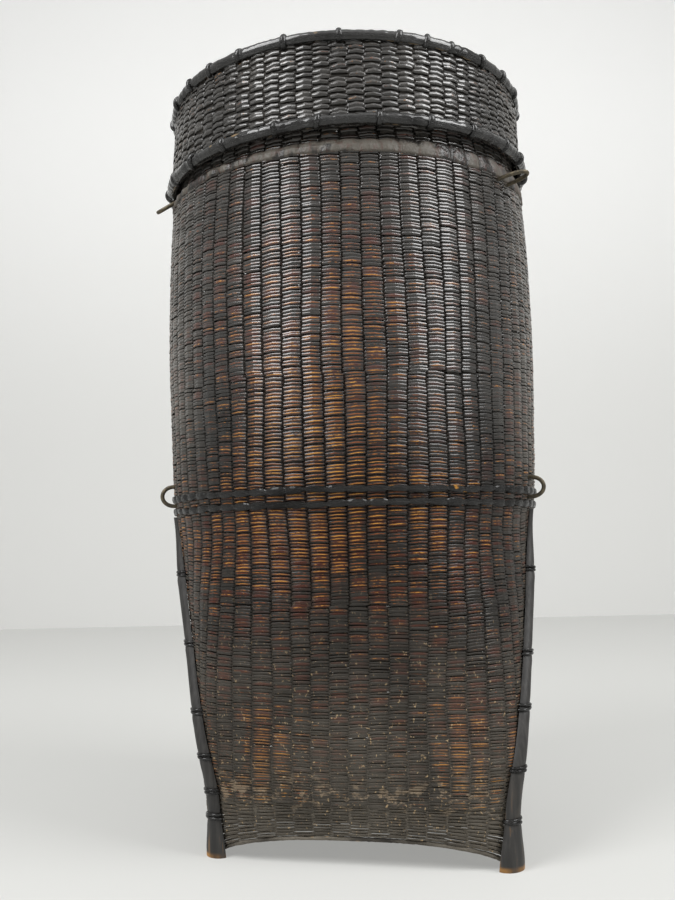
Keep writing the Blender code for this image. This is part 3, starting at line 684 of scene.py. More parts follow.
def woven_finish(finish, colours, gloss, worn_share, dust_share, body=True, crinkle=0.45,
                 specular=0.24):
    """Blackened weft with worn crests, dust between the strands, a painted sheen on the body's
    left and right sides and painted shade in the gaps between columns.
    """
    x, z = finish.x, finish.z
    across, lift, tone, tone_two = finish.marks()
    streaks = finish.noise(260.0, 3.0, 0.6, 5.0)
    specks = finish.noise(900.0, 2.0, 0.6)
    broad = finish.noise(26.0, 3.0, 0.55, shift=3.1)
    threads = finish.noise(430.0, 3.0, 0.65, 3.5, 6.4) * 1.9 - 0.5

    line = abs(across - 0.30 - streaks * 0.22)
    crest = line.ramp(0.23, 0.06) * lift.ramp(0.70, 0.90)
    wear = body_wear(finish) if body else broad.ramp(0.50, 0.75) * 0.4
    worn = crest * (wear * worn_share * 1.15 + threads - tone * 0.65).ramp(0.42, 0.86)
    char = finish.blend(colours.char, dimmed(colours.char, 2.2), broad.ramp(0.35, 0.7))
    if body:
        stained = wear * 0.9 + broad * 0.6 + tone_two * 0.8 + z.hump(0.105, 0.075) * 0.10
        stained = stained.ramp(0.92, 1.28) * z.ramp(0.03, 0.08)
        # The smoked stain fades towards a crest's ends, so the gaps between columns stay dark as
        # painted shade
        stained = stained * (lift.ramp(0.72, 0.90) * 0.8 + 0.2)
        char = finish.blend(char, colours.smoked, stained)
    hue = (tone_two * 0.75 + wear * 0.5 + threads * 0.3).ramp(0.40, 1.15)
    stain = finish.blend(colours.russet, colours.worn, hue)

    crevice = lift.ramp(0.65, 0.25)
    low = z.ramp(0.175, 0.020) if body else 0.0
    # The body's left and right sides are dusted grey: partly real dust, partly a painted sheen of
    # the light that grazes them
    sides = abs(x).ramp(0.085, 0.120)
    dust_and_sheen = low * 1.05 + sides * 0.85 + 0.05
    dust_and_sheen = dust_and_sheen * (broad.ramp(0.2, 0.6) * 0.5 + 0.5) * dust_share
    rows = abs(across - 0.5).ramp(0.30, 0.5) * 0.4 + crevice * (0.2 + low * 0.15) + 0.3
    # Less dust towards a crest's ends, so the gaps between columns read darker as painted shade
    rows = rows * (lift.ramp(0.68, 0.90) * 0.35 + 0.70)
    shaded = z.hump(0.235, 0.070) * abs(x).ramp(0.110, 0.070) * 0.6
    char = finish.blend(char, colours.lacquer, shaded)
    colour = finish.blend(char, colours.dust, dust_and_sheen * rows)
    colour = finish.blend(colour, stain, worn * (1 - low * 0.2))
    if body:
        fleck = finish.noise(520.0, 2.0, 0.6, 0.8, 1.2).ramp(0.63, 0.71)
        colour = finish.blend(colour, colours.straw, fleck * z.ramp(0.19, 0.06) * 0.8)
        earth = finish.noise(90.0, 4.0, 0.7, 1.5, 8.2).ramp(0.53, 0.60)
        colour = finish.blend(colour, colours.earth, earth * z.hump(0.040, 0.016) * 0.8)

    high = z.ramp(0.19, 0.31)
    rough = gloss + crevice * 0.25 + worn * 0.08 + streaks * 0.10 + low * 0.35 + sides * 0.15
    rough = rough + (1 - high) * 0.12
    lacquered = lift.ramp(0.62, 0.76) * (1 - sides * 0.6) * high * broad.ramp(0.10, 0.38)
    lacquered = lacquered * (1 - worn * 0.4)
    finish.set(Base_Color=colour, Roughness=rough, Specular_IOR_Level=specular,
               Coat_Weight=lacquered, Coat_Roughness=gloss + 0.05)
    finish.bump(streaks + specks * 0.3, crinkle, 0.0003)


def stake_finish(finish, colours):
    """Dull upright stakes, dusty low down."""
    grain = finish.noise(300.0, 3.0, 0.6, 0.12)
    dusty = finish.z.ramp(0.15, 0.04) * 0.6 + grain.ramp(0.3, 0.7) * 0.25
    finish.set(Base_Color=finish.blend(colours.char, colours.dust, dusty), Roughness=0.75)
    finish.bump(grain, 0.3, 0.0004)


def lacquer_finish(finish, colours, paint, rough, coat=0.0, bare_cane="worn", bare_share=1.0,
                   edges=False, dusty=False):
    """Glossy blackened cane, scratched through to bare cane in a few places."""
    paint = getattr(colours, paint)
    grain = finish.noise(220.0, 3.0, 0.6, 6.0)
    nicks = finish.noise(75.0, 2.0, 0.55, 1.6, 1.7)
    broad = finish.noise(30.0, 2.0, 0.5, shift=5.0)
    bare = nicks.ramp(0.70, 0.76)
    if edges:
        across = finish.marks()[0]
        bare = bare + across.ramp(0.88, 0.96) * nicks.ramp(0.58, 0.68) * 0.6
    base = finish.blend(paint, dimmed(paint, 1.8), broad.ramp(0.4, 0.75))
    if dusty:
        base = finish.blend(base, colours.dust, broad.ramp(0.30, 0.62))
    shine = (broad.ramp(0.28, 0.50) * 0.7 + 0.3) * (1 - bare)
    scratched = dimmed(getattr(colours, bare_cane), bare_share)
    finish.set(Base_Color=finish.blend(base, scratched, bare),
               Roughness=rough + grain * 0.3 + bare * 0.3,
               Specular_IOR_Level=0.12 if coat else 0.3,
               Coat_Weight=shine * coat, Coat_Roughness=rough)
    finish.bump(grain + nicks * 3, 1.0, 0.0012)


def strip_finish(finish, colours):
    """A dull flat strip, blotched from stake to stake."""
    blots = finish.noise(75.0, 3.0, 0.65, 0.5, 4.4)
    grain = finish.noise(330.0, 3.0, 0.65, 0.5)
    colour = finish.blend(colours.char, dimmed(colours.dust, 0.48), blots.ramp(0.44, 0.54))
    colour = finish.blend(colour, colours.smoked, grain.ramp(0.50, 0.64) * 0.4)
    finish.set(Base_Color=colour, Roughness=blots.ramp(0.3, 0.7) * 0.4 + 0.25,
               Specular_IOR_Level=0.45)
    finish.bump(grain * 0.6 + blots, 0.8, 0.0022)


def bamboo_finish(finish, colours):
    """Blackened split bamboo with upright grain, earthy and cracked at the feet."""
    z = finish.z
    grain = finish.noise(420.0, 3.0, 0.6, 0.05)
    broad = finish.noise(40.0, 3.0, 0.6, 0.5)
    colour = finish.blend(colours.bamboo, dimmed(colours.bamboo, 3), grain.ramp(0.35, 0.8))
    crack = grain.ramp(0.60, 0.68) * z.ramp(0.05, 0.012)
    bare = z.ramp(0.0035, 0.0012) * broad.ramp(0.35, 0.55)
    dusty = z.ramp(0.06, 0.005) * broad.ramp(0.45, 0.7) * 0.5
    colour = finish.blend(colour, colours.earth, dusty)
    colour = finish.blend(colour, colours.worn, crack * 0.2 + bare * 0.8)
    finish.set(Base_Color=colour, Roughness=0.42 + broad * 0.25)
    finish.bump(grain + broad * 0.6, 0.4, 0.0006)


def wire_finish(finish, colours):
    """Dulled wire with patches of patina."""
    patina = finish.noise(500.0, 3.0, 0.6)
    colour = finish.blend(colours.wire, dimmed(colours.wire, 0.35), patina.ramp(0.35, 0.65))
    finish.set(Base_Color=colour, Roughness=0.4 + patina * 0.3,
               Metallic=patina.ramp(0.75, 0.4) * 0.8)
    finish.bump(patina, 0.25, 0.0002)


# Each finish's slot, its recipe and the recipe's settings
FINISHES = {
    "body_weft": ("woven_cane", woven_finish, dict(gloss=0.17, worn_share=1.0, dust_share=1.0)),
    "hem_weft": ("woven_cane", woven_finish, dict(gloss=0.30, worn_share=0.0, dust_share=1.3)),
    "neck_weft": ("woven_cane", woven_finish, dict(gloss=0.45, worn_share=0.5, dust_share=0.9)),
    "lid_weft": ("woven_cane", woven_finish, dict(
        gloss=0.16, worn_share=0.05, dust_share=0.5, body=False, crinkle=1.0, specular=0.36)),
    "stake": ("woven_cane", stake_finish, {}),
    "hoop_cane": ("black_cane", lacquer_finish, dict(
        paint="lacquer", rough=0.12, coat=1.0, bare_cane="straw", bare_share=0.6, edges=True)),
    "band_cane": ("black_cane", lacquer_finish, dict(paint="lacquer", rough=0.20, coat=0.5)),
    "neck_strip": ("black_cane", strip_finish, {}),
    "edge_cane": ("black_cane", lacquer_finish, dict(
        paint="char", rough=0.60, bare_cane="straw", dusty=True)),
    "lashing": ("lashing_cane", lacquer_finish, dict(paint="lacquer", rough=0.12, coat=0.7)),
    "mouth_bamboo": ("dark_bamboo", lacquer_finish, dict(paint="bamboo", rough=0.4)),
    "leg_bamboo": ("dark_bamboo", bamboo_finish, {}),
    "floor_cane": ("bare_cane", lacquer_finish, dict(paint="dust", rough=0.6)),
    "eye_wire": ("wire", wire_finish, {}),
}
MADE = {}


def finish_of(name):
    """A finish's material, made once."""
    if name not in MADE:
        _, recipe, settings = FINISHES[name]
        finish = Finish(name)
        recipe(finish, bpy.context.scene.basket_colours, **settings)
        MADE[name] = finish.material
    return MADE[name]


# ---------------------------------------------------------------- operators

BODY_TOP = 0.4175
HEM_TOP = 0.0340
FULL_PITCH_HEIGHT = 0.3000
BODY_PIECES = ("low", "middle", "high")
BODY_STAKE_STEPS, LID_STAKE_STEPS, LID_TOP_STAKE_STEPS = 48, 14, 12
GROOVE_DEPTHS = (0.0006, 0.0015)    # of a crossing strand, at the foot and higher up
GROOVE_START, GROOVE_RISE = 0.05, 0.12
# A weave's crest and crossing height over its row pitch, and the insets of both
BODY_CANE = (2.0, 0.95, 0.0001)
HEM_CANE = (1.3, 1.05, 0.0004, 0.0009)
NECK_CANE = (1.7, 0.95, 0.0001, 0.0024)
LID_CANE = (1.70, 1.05, 0.0, 0.0009)
LID_TOP_CANE = (1.75, 1.05, 0.0, 0.0010)


def cane_at(pitch, thickness, kind, share=1.0):
    """The sizes that weft takes of a cane, from a weave's row pitch."""
    crest, crossing, *insets = kind
    return pitch * crest * share, pitch * crossing * share, thickness, *insets


def row_levels(low, high, sizes):
    """Heights of weft rows, which lie closer together towards the foot."""
    levels = [low]
    while levels[-1] < high:
        share = eased((levels[-1] - low) / (FULL_PITCH_HEIGHT - low))
        levels.append(levels[-1] + mixed(sizes.foot_pitch, sizes.row_pitch, share))
    return np.array(levels[:-1])


class BASKET_OT_body_weave(Operator):
    """Weave the body's wall, its hem and the neck under the lid"""

    bl_idname = "basket.body_weave"
    bl_label = "Body Weave"

    def execute(self, context):
        sizes = context.scene.basket_sizes
        rng = np.random.default_rng(SEED)
        columns, thickness, first = sizes.columns, sizes.weft_thickness, sizes.hem_rows
        skin = body_skin(columns)
        levels = row_levels(HEM_TOP, BODY_TOP, sizes)
        for part, rows in zip(BODY_PIECES, np.array_split(levels, len(BODY_PIECES))):
            depth = mixed(*GROOVE_DEPTHS, eased((rows - GROOVE_START) / GROOVE_RISE))[:, None]
            crest, crossing, inset = BODY_CANE
            cane = cane_at(np.gradient(rows)[:, None], thickness,
                           (crest * sizes.row_fill, crossing, inset, depth))
            woven_piece(f"weave_body_{part}",
                        [weft(skin, columns, rows, cane, rng, first, sizes.wander)],
                        "body_weft", ("basket_wall",) if part == "low" else ())
            first += len(rows)

        room = HEM_TOP - EDGE_CORNER_HEIGHT
        cane = cane_at(room / sizes.hem_rows, thickness, HEM_CANE, 1 / room)
        levels = (np.arange(sizes.hem_rows) + 0.5) / sizes.hem_rows
        woven_piece("weave_hem", [weft(hem_skin(columns, HEM_TOP), columns, levels, cane, rng)],
                    "hem_weft")

        pitch = sizes.neck_pitch
        cane = cane_at(pitch, thickness, NECK_CANE)
        levels = np.arange(BODY_TOP + pitch / 2, MOUTH_HEIGHT, pitch)
        woven_piece("weave_neck", [weft(skin, columns, levels, cane, rng)], "neck_weft")

        made = stakes(skin, columns, HEM_TOP, MOUTH_HEIGHT, BODY_STAKE_STEPS, STAKE_BODY)
        made_piece("body_stakes", tubes(made, False), "stake")
        return {"FINISHED"}


STRIP_LEVEL = FLOOR_HEIGHT + 0.0015
STRIP_FILL = 0.9
STRIP_WAVE = 0.0005
STRIP_HALF_THICKNESS = 0.0004


class BASKET_OT_floor(Operator):
    """Plait the floor inside the body's foot"""

    bl_idname = "basket.floor"
    bl_label = "Floor"

    def execute(self, context):
        count = context.scene.basket_sizes.floor_strips
        run = np.linspace(-1.0, 1.0, count * 2 + 1)
        level = np.full_like(run, STRIP_LEVEL)
        centre = np.array((BASE_SHIFT, 0.0, STRIP_LEVEL))
        strips = []
        for way in (0, 1):
            for k, at in enumerate((np.arange(count) + 0.5) / count * 2 - 1):
                wave = STRIP_WAVE * np.cos(math.pi * (np.arange(len(run)) - 1 + k + way))
                rings = []
                for side, rise in ((-1, 1), (1, 1), (1, -1), (-1, -1)):
                    u, v = np.full_like(run, at + side * STRIP_FILL / count), run
                    u, v = (u, v) if way else (v, u)
                    rim = skin_point(np.arctan2(u, v), level, WALL_THICKNESS + TOUCH_GAP)
                    share = np.maximum(np.abs(u), np.abs(v))
                    point = mixed(centre, rim, share[:, None])
                    point[:, 2] += wave + rise * STRIP_HALF_THICKNESS
                    rings.append(point)
                rings = np.stack(rings, 1)
                strips.append(rings if way else rings[:, ::-1])
        made_piece("floor_mat", tubes(strips, False), "floor_cane", ("basket_floor",))
        return {"FINISHED"}


EDGE_STEPS = 6    # to a column
EDGE_ROLL = (0.0013, 10)    # radius and sides
EDGE_SWELL, EDGE_ROUGHNESS = 0.10, 0.06


class BASKET_OT_edge(Operator):
    """Roll a rough cane round the arched lower edge"""

    bl_idname = "basket.edge"
    bl_label = "Bottom Edge"

    def execute(self, context):
        columns = context.scene.basket_sizes.columns
        turns = np.arange(columns * EDGE_STEPS) / EDGE_STEPS
        azimuth = column_azimuth(turns, np.zeros_like(turns), columns)
        centre = skin_point(azimuth, edge_height(azimuth), WALL_THICKNESS / 2)
        centre[:, 2] -= EDGE_CANE_DROP
        outs = unit(centre * (1, 1, 0) - (BASE_SHIFT, 0, 0))
        rng = np.random.default_rng(SEED + 5)
        swell = 1 + drift(rng, turns / columns, 0.0, EDGE_SWELL)
        swell = swell + rng.normal(0.0, EDGE_ROUGHNESS, len(turns))
        rings = swept(centre, upward(outs), outs, round_profile(*EDGE_ROLL)[::-1],
                      np.stack((swell, swell), -1))
        made_piece("bottom_edge_roll", tubes([rings], True), "edge_cane", ("bottom_edge_cane",))
        return {"FINISHED"}


BAND_STEPS = 8    # to a column
BAND_FACE, BAND_CROWN, BAND_BACK = 0.0007, 0.00095, -0.0002    # outward from its place
FACE_SHARE, BACK_SHARE = 0.86, 0.9    # how much of its height its face and back take up
BAND_SAG = 0.0003
DIVE_REACH = 0.17    # of a band's dive at a stake, in columns
# A band's finish, points over its face, edge's wander, how deep it lies between stakes and
# at them, and how much narrower it is there
MIDDLE_BAND = ("band_cane", 3, 0.00035, (-0.0008, 0.0003), 0.34)
NECK_BAND = ("neck_strip", 9, 0.0005, (-0.0002, 0.0008), 0.0)


def uneven(rng, turns, columns, size):
    """A hand-cut edge's wander, smooth from column to column."""
    steps = rng.normal(0.0, size, columns + 1)
    steps[-1] = steps[0]
    return np.interp(turns, np.arange(columns + 1), steps)


class BASKET_OT_bands(Operator):
    """Lay the flat bands round the middle and under the lid"""

    bl_idname = "basket.bands"
    bl_label = "Bands"

    def execute(self, context):
        columns = context.scene.basket_sizes.columns
        rng = np.random.default_rng(SEED + 1)
        turns = np.arange(columns * BAND_STEPS) / BAND_STEPS
        dive = np.exp(-((turns - np.round(turns)) / DIVE_REACH) ** 2)
        for name, (level, height) in BANDS.items():
            finish, across, stray, depths, pinch = (
                NECK_BAND if name == "neck_band" else MIDDLE_BAND)
            azimuth = column_azimuth(turns, np.full_like(turns, level), columns)
            sag = drift(rng, turns / columns, 0.0, BAND_SAG)
            dip = mixed(*depths, dive)
            edges = [uneven(rng, turns, columns, stray) for _ in (0, 1)]
            span = np.linspace(1.0, -1.0, across)
            face = [(rise, BAND_FACE) for rise in span * FACE_SHARE]
            face[across // 2] = (0.0, BAND_CROWN)
            back = [(rise, BAND_BACK) for rise in (-BACK_SHARE, *span[::-1][1:-1], BACK_SHARE)]
            rings = []
            for rise, out in [(1.0, 0.0)] + face + [(-1.0, 0.0)] + back:
                edge = mixed(edges[1], edges[0], (rise + 1) / 2) * abs(rise)
                lift = sag + edge + height / 2 * rise * (1 - pinch * dive)
                rings.append(skin_point(azimuth, level + lift, dip - out))
            made_piece(name + "_strip", tubes([np.stack(rings, 1)], True), finish, (name,))
        return {"FINISHED"}


HOOP_STEPS = 576
HOOP_SIDES = 12
HOOP_SWELL, HOOP_DENTS, HOOP_WANDER = 0.06, 0.035, 0.00025
WRAP_REACH = 1.75    # how far a wrap goes round a hoop each way, in radians
WRAP_LIFT = 0.0001
WRAP_SLANTS = (-0.006, 0.012)    # in radians of the hoop's turn
WRAP_WIDTHS, WRAP_THICKNESSES = (0.85, 1.2), (0.8, 1.3)
WRAP_STRAY = 0.03    # of a wrap's place round the back, in radians
LID_THICKNESS = 0.0008
LID_ROWS = (0.0019, 0.0007)    # pitch and thickness of the weft on the lid's top
LID_WANDER, LID_TOP_WANDER = 0.0004, 0.0002
LID_ROUND_ENDS = 0.19
LID_ZONES = ((1, 0.1170, 0.0620), (2, 0.0612, 0.0300), (4, 0.0292, 0.0120))
LID_CENTRE = (10, 0.0112, 0.0012)    # columns, outer and inner radius


def hoop_sections(hoop, rng):
    """Rings of a slightly uneven half-round hoop."""
    inner, middle, height, depth = hoop
    azimuth = np.arange(HOOP_STEPS) * math.tau / HOOP_STEPS
    outs, _ = around(azimuth)
    swell = 1 + drift(rng, azimuth / math.tau, 0.0, HOOP_SWELL)
    dents = rng.normal(0.0, HOOP_DENTS, HOOP_STEPS)
    swell = swell + dents + np.roll(dents, 1)
    rise = middle + drift(rng, azimuth / math.tau, 0.0, HOOP_WANDER)
    return swept(outs * inner + upward(outs) * rise[:, None], upward(outs), outs,
                 half_round(height, depth, HOOP_SIDES), np.stack((swell, swell), -1))


def wrap_sections(hoop, places, width, thickness, rng):
    """One strip over a hoop's half round at each place."""
    inner, middle, height, depth = hoop
    bend = np.linspace(-WRAP_REACH, WRAP_REACH, 15)
    radius = inner + (depth + WRAP_LIFT) * np.cos(bend)
    rise = middle + (height / 2 + WRAP_LIFT) * np.sin(bend)
    made = []
    for azimuth in places:
        out, side = around(azimuth + rng.uniform(*WRAP_SLANTS) * bend / WRAP_REACH)
        up = upward(out)
        centres = out * radius[:, None] + up * rise[:, None]
        normal = unit(out * (np.cos(bend) * height / 2)[:, None]
                      + up * (np.sin(bend) * depth)[:, None])
        scale = rng.uniform(*WRAP_WIDTHS), rng.uniform(*WRAP_THICKNESSES)
        made.append(swept(centres, -side, normal, half_round(width, thickness, 7),
                          np.ones((len(bend), 2)) * scale))
    return made


def wrap_places(front_deg, count, rng):
    """The wraps seen in front, and evenly spaced ones round the back."""
    front = np.radians(front_deg)
    pitch = (front[0] + math.tau - front[-1]) / (count - len(front) + 1)
    back = front[-1] + pitch * np.arange(1, count - len(front) + 1)
    return np.concatenate((front, back + rng.uniform(-WRAP_STRAY, WRAP_STRAY, len(back))))


class BASKET_OT_lid(Operator):
    """Weave the lid's wall and its top"""

    bl_idname = "basket.lid"
    bl_label = "Lid"

    def execute(self, context):
        sizes = context.scene.basket_sizes
        rng = np.random.default_rng(SEED + 2)
        columns, pitch = sizes.lid_columns, sizes.lid_pitch
        share = 1 / LID_WALL_HEIGHT

        def wall(turn, level, inset):
            return lid_point(math.tau * turn / columns, level, inset)

        levels = np.arange(pitch * 0.7, LID_WALL_HEIGHT - pitch * 0.3, pitch) * share
        woven = weft(wall, columns, levels, cane_at(pitch, LID_THICKNESS, LID_CANE, share), rng,
                     wander=LID_WANDER * share, round_ends=LID_ROUND_ENDS)
        woven_piece("weave_lid", [woven], "lid_weft", ("lid_wall",), "lid")

        made = stakes(wall, columns, 0.0, 1.0, LID_STAKE_STEPS, STAKE_LID)
        rows, thickness = LID_ROWS
        cane = cane_at(rows, thickness, LID_TOP_CANE)
        zones = [(columns // part // 2 * 2, *reach) for part, *reach in LID_ZONES]
        woven = []
        for count, outer, inner in zones + [LID_CENTRE]:
            def crown(turn, level, inset, count=count, outer=outer):
                return crown_point(math.tau * turn / count, outer - level, inset)

            levels = np.arange(0.0, outer - inner, rows)
            woven.append(weft(crown, count, levels, cane, rng, wander=LID_TOP_WANDER,
                              round_ends=LID_ROUND_ENDS))
            made += stakes(crown, count, 0.0, outer - inner, LID_TOP_STAKE_STEPS, STAKE_LID_TOP)
        woven_piece("weave_lid_top", woven, "lid_weft", ("lid_panel",), "lid")
        made_piece("lid_stakes", tubes(made, False), "stake", (), "lid")
        return {"FINISHED"}


class BASKET_OT_hoops(Operator):
    """Bend the lid's hoops, bind them with cane and finish the hoops of the mouth"""

    bl_idname = "basket.hoops"
    bl_label = "Hoops"

    def execute(self, context):
        sizes = context.scene.basket_sizes
        rng = np.random.default_rng(SEED + 3)
        for name, hoop, tilt, level, front, count in (
                ("lid_rim", RIM_HOOP, RIM_TILT_DEG, LID_RIM_HEIGHT, RIM_WRAPS_DEG, 24),
                ("lid_top", TOP_HOOP, MOUTH_TILT_DEG, MOUTH_HEIGHT, TOP_WRAPS_DEG, 28)):
            up = np.array((0.0, 0.0, level))
            rings = turned_out(hoop_sections(hoop, rng) + up, tilt, level)
            marks = np.zeros(rings.shape[:2] + (4,))
            marks[..., 0] = np.linspace(0.0, 1.0, rings.shape[1])
            made_piece(name + "_hoop_cane", tubes([rings], True), "hoop_cane", (name + "_hoop",),
                       "lid", marks)
            wraps = wrap_sections(hoop, wrap_places(front, count, rng), sizes.wrap_width,
                                  sizes.wrap_thickness, rng)
            wraps = [turned_out(wrap + up, tilt, level) for wrap in wraps]
            made_piece(name + "_wraps", tubes(wraps, False), "lashing", (name + "_lashing",),
                       "lid")
        for node, finish in (("mouth_hoop_outer", "mouth_bamboo"),
                             ("mouth_hoop_inner", "mouth_bamboo"), ("mouth_lashing", "lashing")):
            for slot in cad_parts[node].material_slots:
                slot.material = finish_of(finish)
        return {"FINISHED"}


LEG_STEPS = 110
LEG_ROUGHNESS = 0.035
WAIST_DEPTH, WAIST_REACH = 0.10, 0.0022    # of a leg's waist at a lashing
SWELL_RISE, SWELL_DROP, SWELL_REACH = 0.05, 0.005, 0.003    # of the swelling below it
TURN_OFFSETS = (-0.0009, 0.0009)    # of a lashing's two turns from its middle
TURN_REACH = 0.12    # how far a turn goes behind the leg, in radians
TURN_SIZE = (0.0019, 0.0009)
TURN_SLANT = 0.0006
TURN_SPREAD = 1.03    # how much wider than the leg a turn is


def leg_frame(leg, height):
    """Place on the wall, sideways and outward directions of a leg at heights."""
    foot, upper = LEG_ANGLES_DEG[leg]
    share = eased((height - HEM_HEIGHT) / (LEG_TOP - HEM_HEIGHT))
    azimuth = np.radians(mixed(foot, upper, share))
    nudge = math.radians(0.5)
    at = plan_point(azimuth, height)
    along = plan_point(azimuth + nudge, height) - plan_point(azimuth - nudge, height)
    along[:, 2] = 0.0
    sideways = unit(along)
    outward = np.stack((sideways[:, 1], -sideways[:, 0], np.zeros(len(at))), -1)
    outward *= np.sign((outward * at).sum(1))[:, None]
    return at, sideways, outward


def leg_size(height):
    """Half width and depth of a leg at heights."""
    flare = 1 - eased(height / FOOT_FLARE_HEIGHT)
    thin = 1 - eased((LEG_TOP - height) / LEG_TAPER_HEIGHT)
    width = LEG_HALF_WIDTH * mixed(1.0, FOOT_FLARE_SHARE, flare)
    depth = LEG_DEPTH * mixed(1.0, FOOT_DEPTH_SHARE, flare)
    return width * mixed(1.0, LEG_TOP_SHARE, thin), depth * mixed(1.0, LEG_TOP_SHARE, thin)


class BASKET_OT_legs(Operator):
    """Set the four split-bamboo legs and lash them to the wall"""

    bl_idname = "basket.legs"
    bl_label = "Legs"

    def execute(self, context):
        rng = np.random.default_rng(SEED + 4)
        for leg, shares in LEG_LASHING_SHARES.items():
            height = np.linspace(0.0, LEG_TOP, LEG_STEPS)
            at, side, out = leg_frame(leg, height)
            width, depth = leg_size(height)
            pinch = 1.0
            for share in shares:
                above = height - share * LEG_TOP
                pinch = pinch - WAIST_DEPTH * np.exp(-(above / WAIST_REACH) ** 2)
                pinch = pinch + SWELL_RISE * np.exp(-((above + SWELL_DROP) / SWELL_REACH) ** 2)
            rough = 1 + drift(rng, 0.0, height, LEG_ROUGHNESS)
            rings = swept(at + out * LEG_SEAT_GAP, -side, out, half_round(2.0, 1.0, 13),
                          np.stack((width * rough, depth * pinch * rough), -1))
            made_piece(f"leg_{leg}_bamboo", tubes([rings], False), "leg_bamboo", (f"leg_{leg}",))

            bend = np.linspace(-TURN_REACH, math.pi + TURN_REACH, 17)
            strips = []
            for level in (share * LEG_TOP + offset for share in shares for offset in TURN_OFFSETS):
                levels = level + rng.uniform(-TURN_SLANT, TURN_SLANT) * np.cos(bend)
                at, side, out = leg_frame(leg, levels)
                wide, deep = leg_size(levels)
                spot = (at - side * (wide * np.cos(bend) * TURN_SPREAD)[:, None]
                        + out * (LEG_SEAT_GAP + deep * np.sin(bend))[:, None])
                normal = unit(-side * (deep * np.cos(bend))[:, None]
                              + out * (wide * np.sin(bend))[:, None])
                strips.append(swept(spot, upward(spot), normal, half_round(*TURN_SIZE, 6)))
            made_piece(f"leg_{leg}_bindings", tubes(strips, False), "lashing",
                       [f"leg_{leg}_lashing_{k + 1}" for k in range(len(shares))])
        return {"FINISHED"}


ARC_POINTS = 26
BEND_POINTS = 7
WIRE_SIDES = 12


def eye_path(eye):
    """The wire's centre line: clinched end, hole, loop, hole, clinched end."""
    azimuth_deg, reach, droop_deg, twist_deg, level = EYES[eye]
    azimuth, twist, droop = (math.radians(a) for a in (azimuth_deg, twist_deg, droop_deg))
    radial, sideways = around(azimuth)
    up = np.array((0.0, 0.0, 1.0))
    lying = eye.startswith("upper")
    across = sideways * math.cos(twist) + up * math.sin(twist) if lying else up
    drop = -1 if lying else 1
    face = float(body_radius(level))
    inside = min(face, float(wall_radius(level + SHOULDER_RISE)))
    inside -= WALL_THICKNESS + CLINCH_GAP + WIRE_RADIUS
    bend, half, run = 2 * WIRE_RADIUS, EYE_WIDTH / 2, reach - WIRE_RADIUS
    rise = min(run, half)
    paths = []
    for side in (-1, 1):
        leg = [(inside, side * half, drop * (bend + CLINCH_LENGTH))]
        for turn in (math.pi / 2 * k / (BEND_POINTS - 1) for k in range(BEND_POINTS)):
            leg.append((inside + bend * (1 - math.cos(turn)), side * half,
                        drop * bend * (1 - math.sin(turn))))
        paths.append(leg)
    middle = []
    for turn in (math.pi * k / ARC_POINTS for k in range(ARC_POINTS + 1)):
        arch = max(math.sin(turn), 0.0)
        out = max(run - rise, 0.0) * arch ** 0.5 + rise * arch
        middle.append((face + out * math.cos(droop), -half * math.cos(turn),
                       -out * math.sin(droop)))
    line = paths[0] + middle + paths[1][::-1]
    return np.array([up * level + radial * r + across * w + up * z for r, w, z in line])


def wire_sections(path, radius, sides):
    """Rings of a round wire along a path, carried along without twist."""
    along = unit(np.gradient(path, axis=0))
    side = np.cross(along[0], (0.3, 0.5, 0.8))
    side /= np.linalg.norm(side)
    sides_made = []
    for ahead in along:
        side = side - ahead * side.dot(ahead)
        side /= np.linalg.norm(side)
        sides_made.append(side)
    sides_made = np.array(sides_made)
    return swept(path, sides_made, np.cross(along, sides_made), round_profile(radius, sides))


class BASKET_OT_eyes(Operator):
    """Bend the four wire eyes for a carrying cord"""

    bl_idname = "basket.eyes"
    bl_label = "Wire Eyes"

    def execute(self, context):
        for eye in EYES:
            rings = wire_sections(eye_path(eye), WIRE_RADIUS, WIRE_SIDES)
            made_piece(eye + "_wire", tubes([rings], False), "eye_wire", (eye,))
        return {"FINISHED"}


STAGE_REACH = 4.0
# Name, degrees from the front, distance, height and size of each lamp
LAMPS = (("left", -50.0, 1.10, 1.30, (0.70, 0.9)), ("right", 62.0, 1.10, 1.30, (0.70, 0.9)),
         ("top", 10.0, 0.45, 1.5, (1.2, 1.2)))
LAMP_AIM = Vector((0.0, 0.0, 0.25))
# Where the painted falloff of light runs: on the floor from front to back, on the wall from low to
# high
FLOOR_LIGHT_FALLOFF, WALL_LIGHT_FALLOFF = (-0.30, 0.60), (0.35, 1.25)
CLOSE_ACROSS, CLOSE_ALONG = (3.2, 1.9), (-2.6, -1.5)    # where the floor counts as close
NEAR_PAINT_DROP = 0.50    # how much of the close floor's paint its glow stands in for


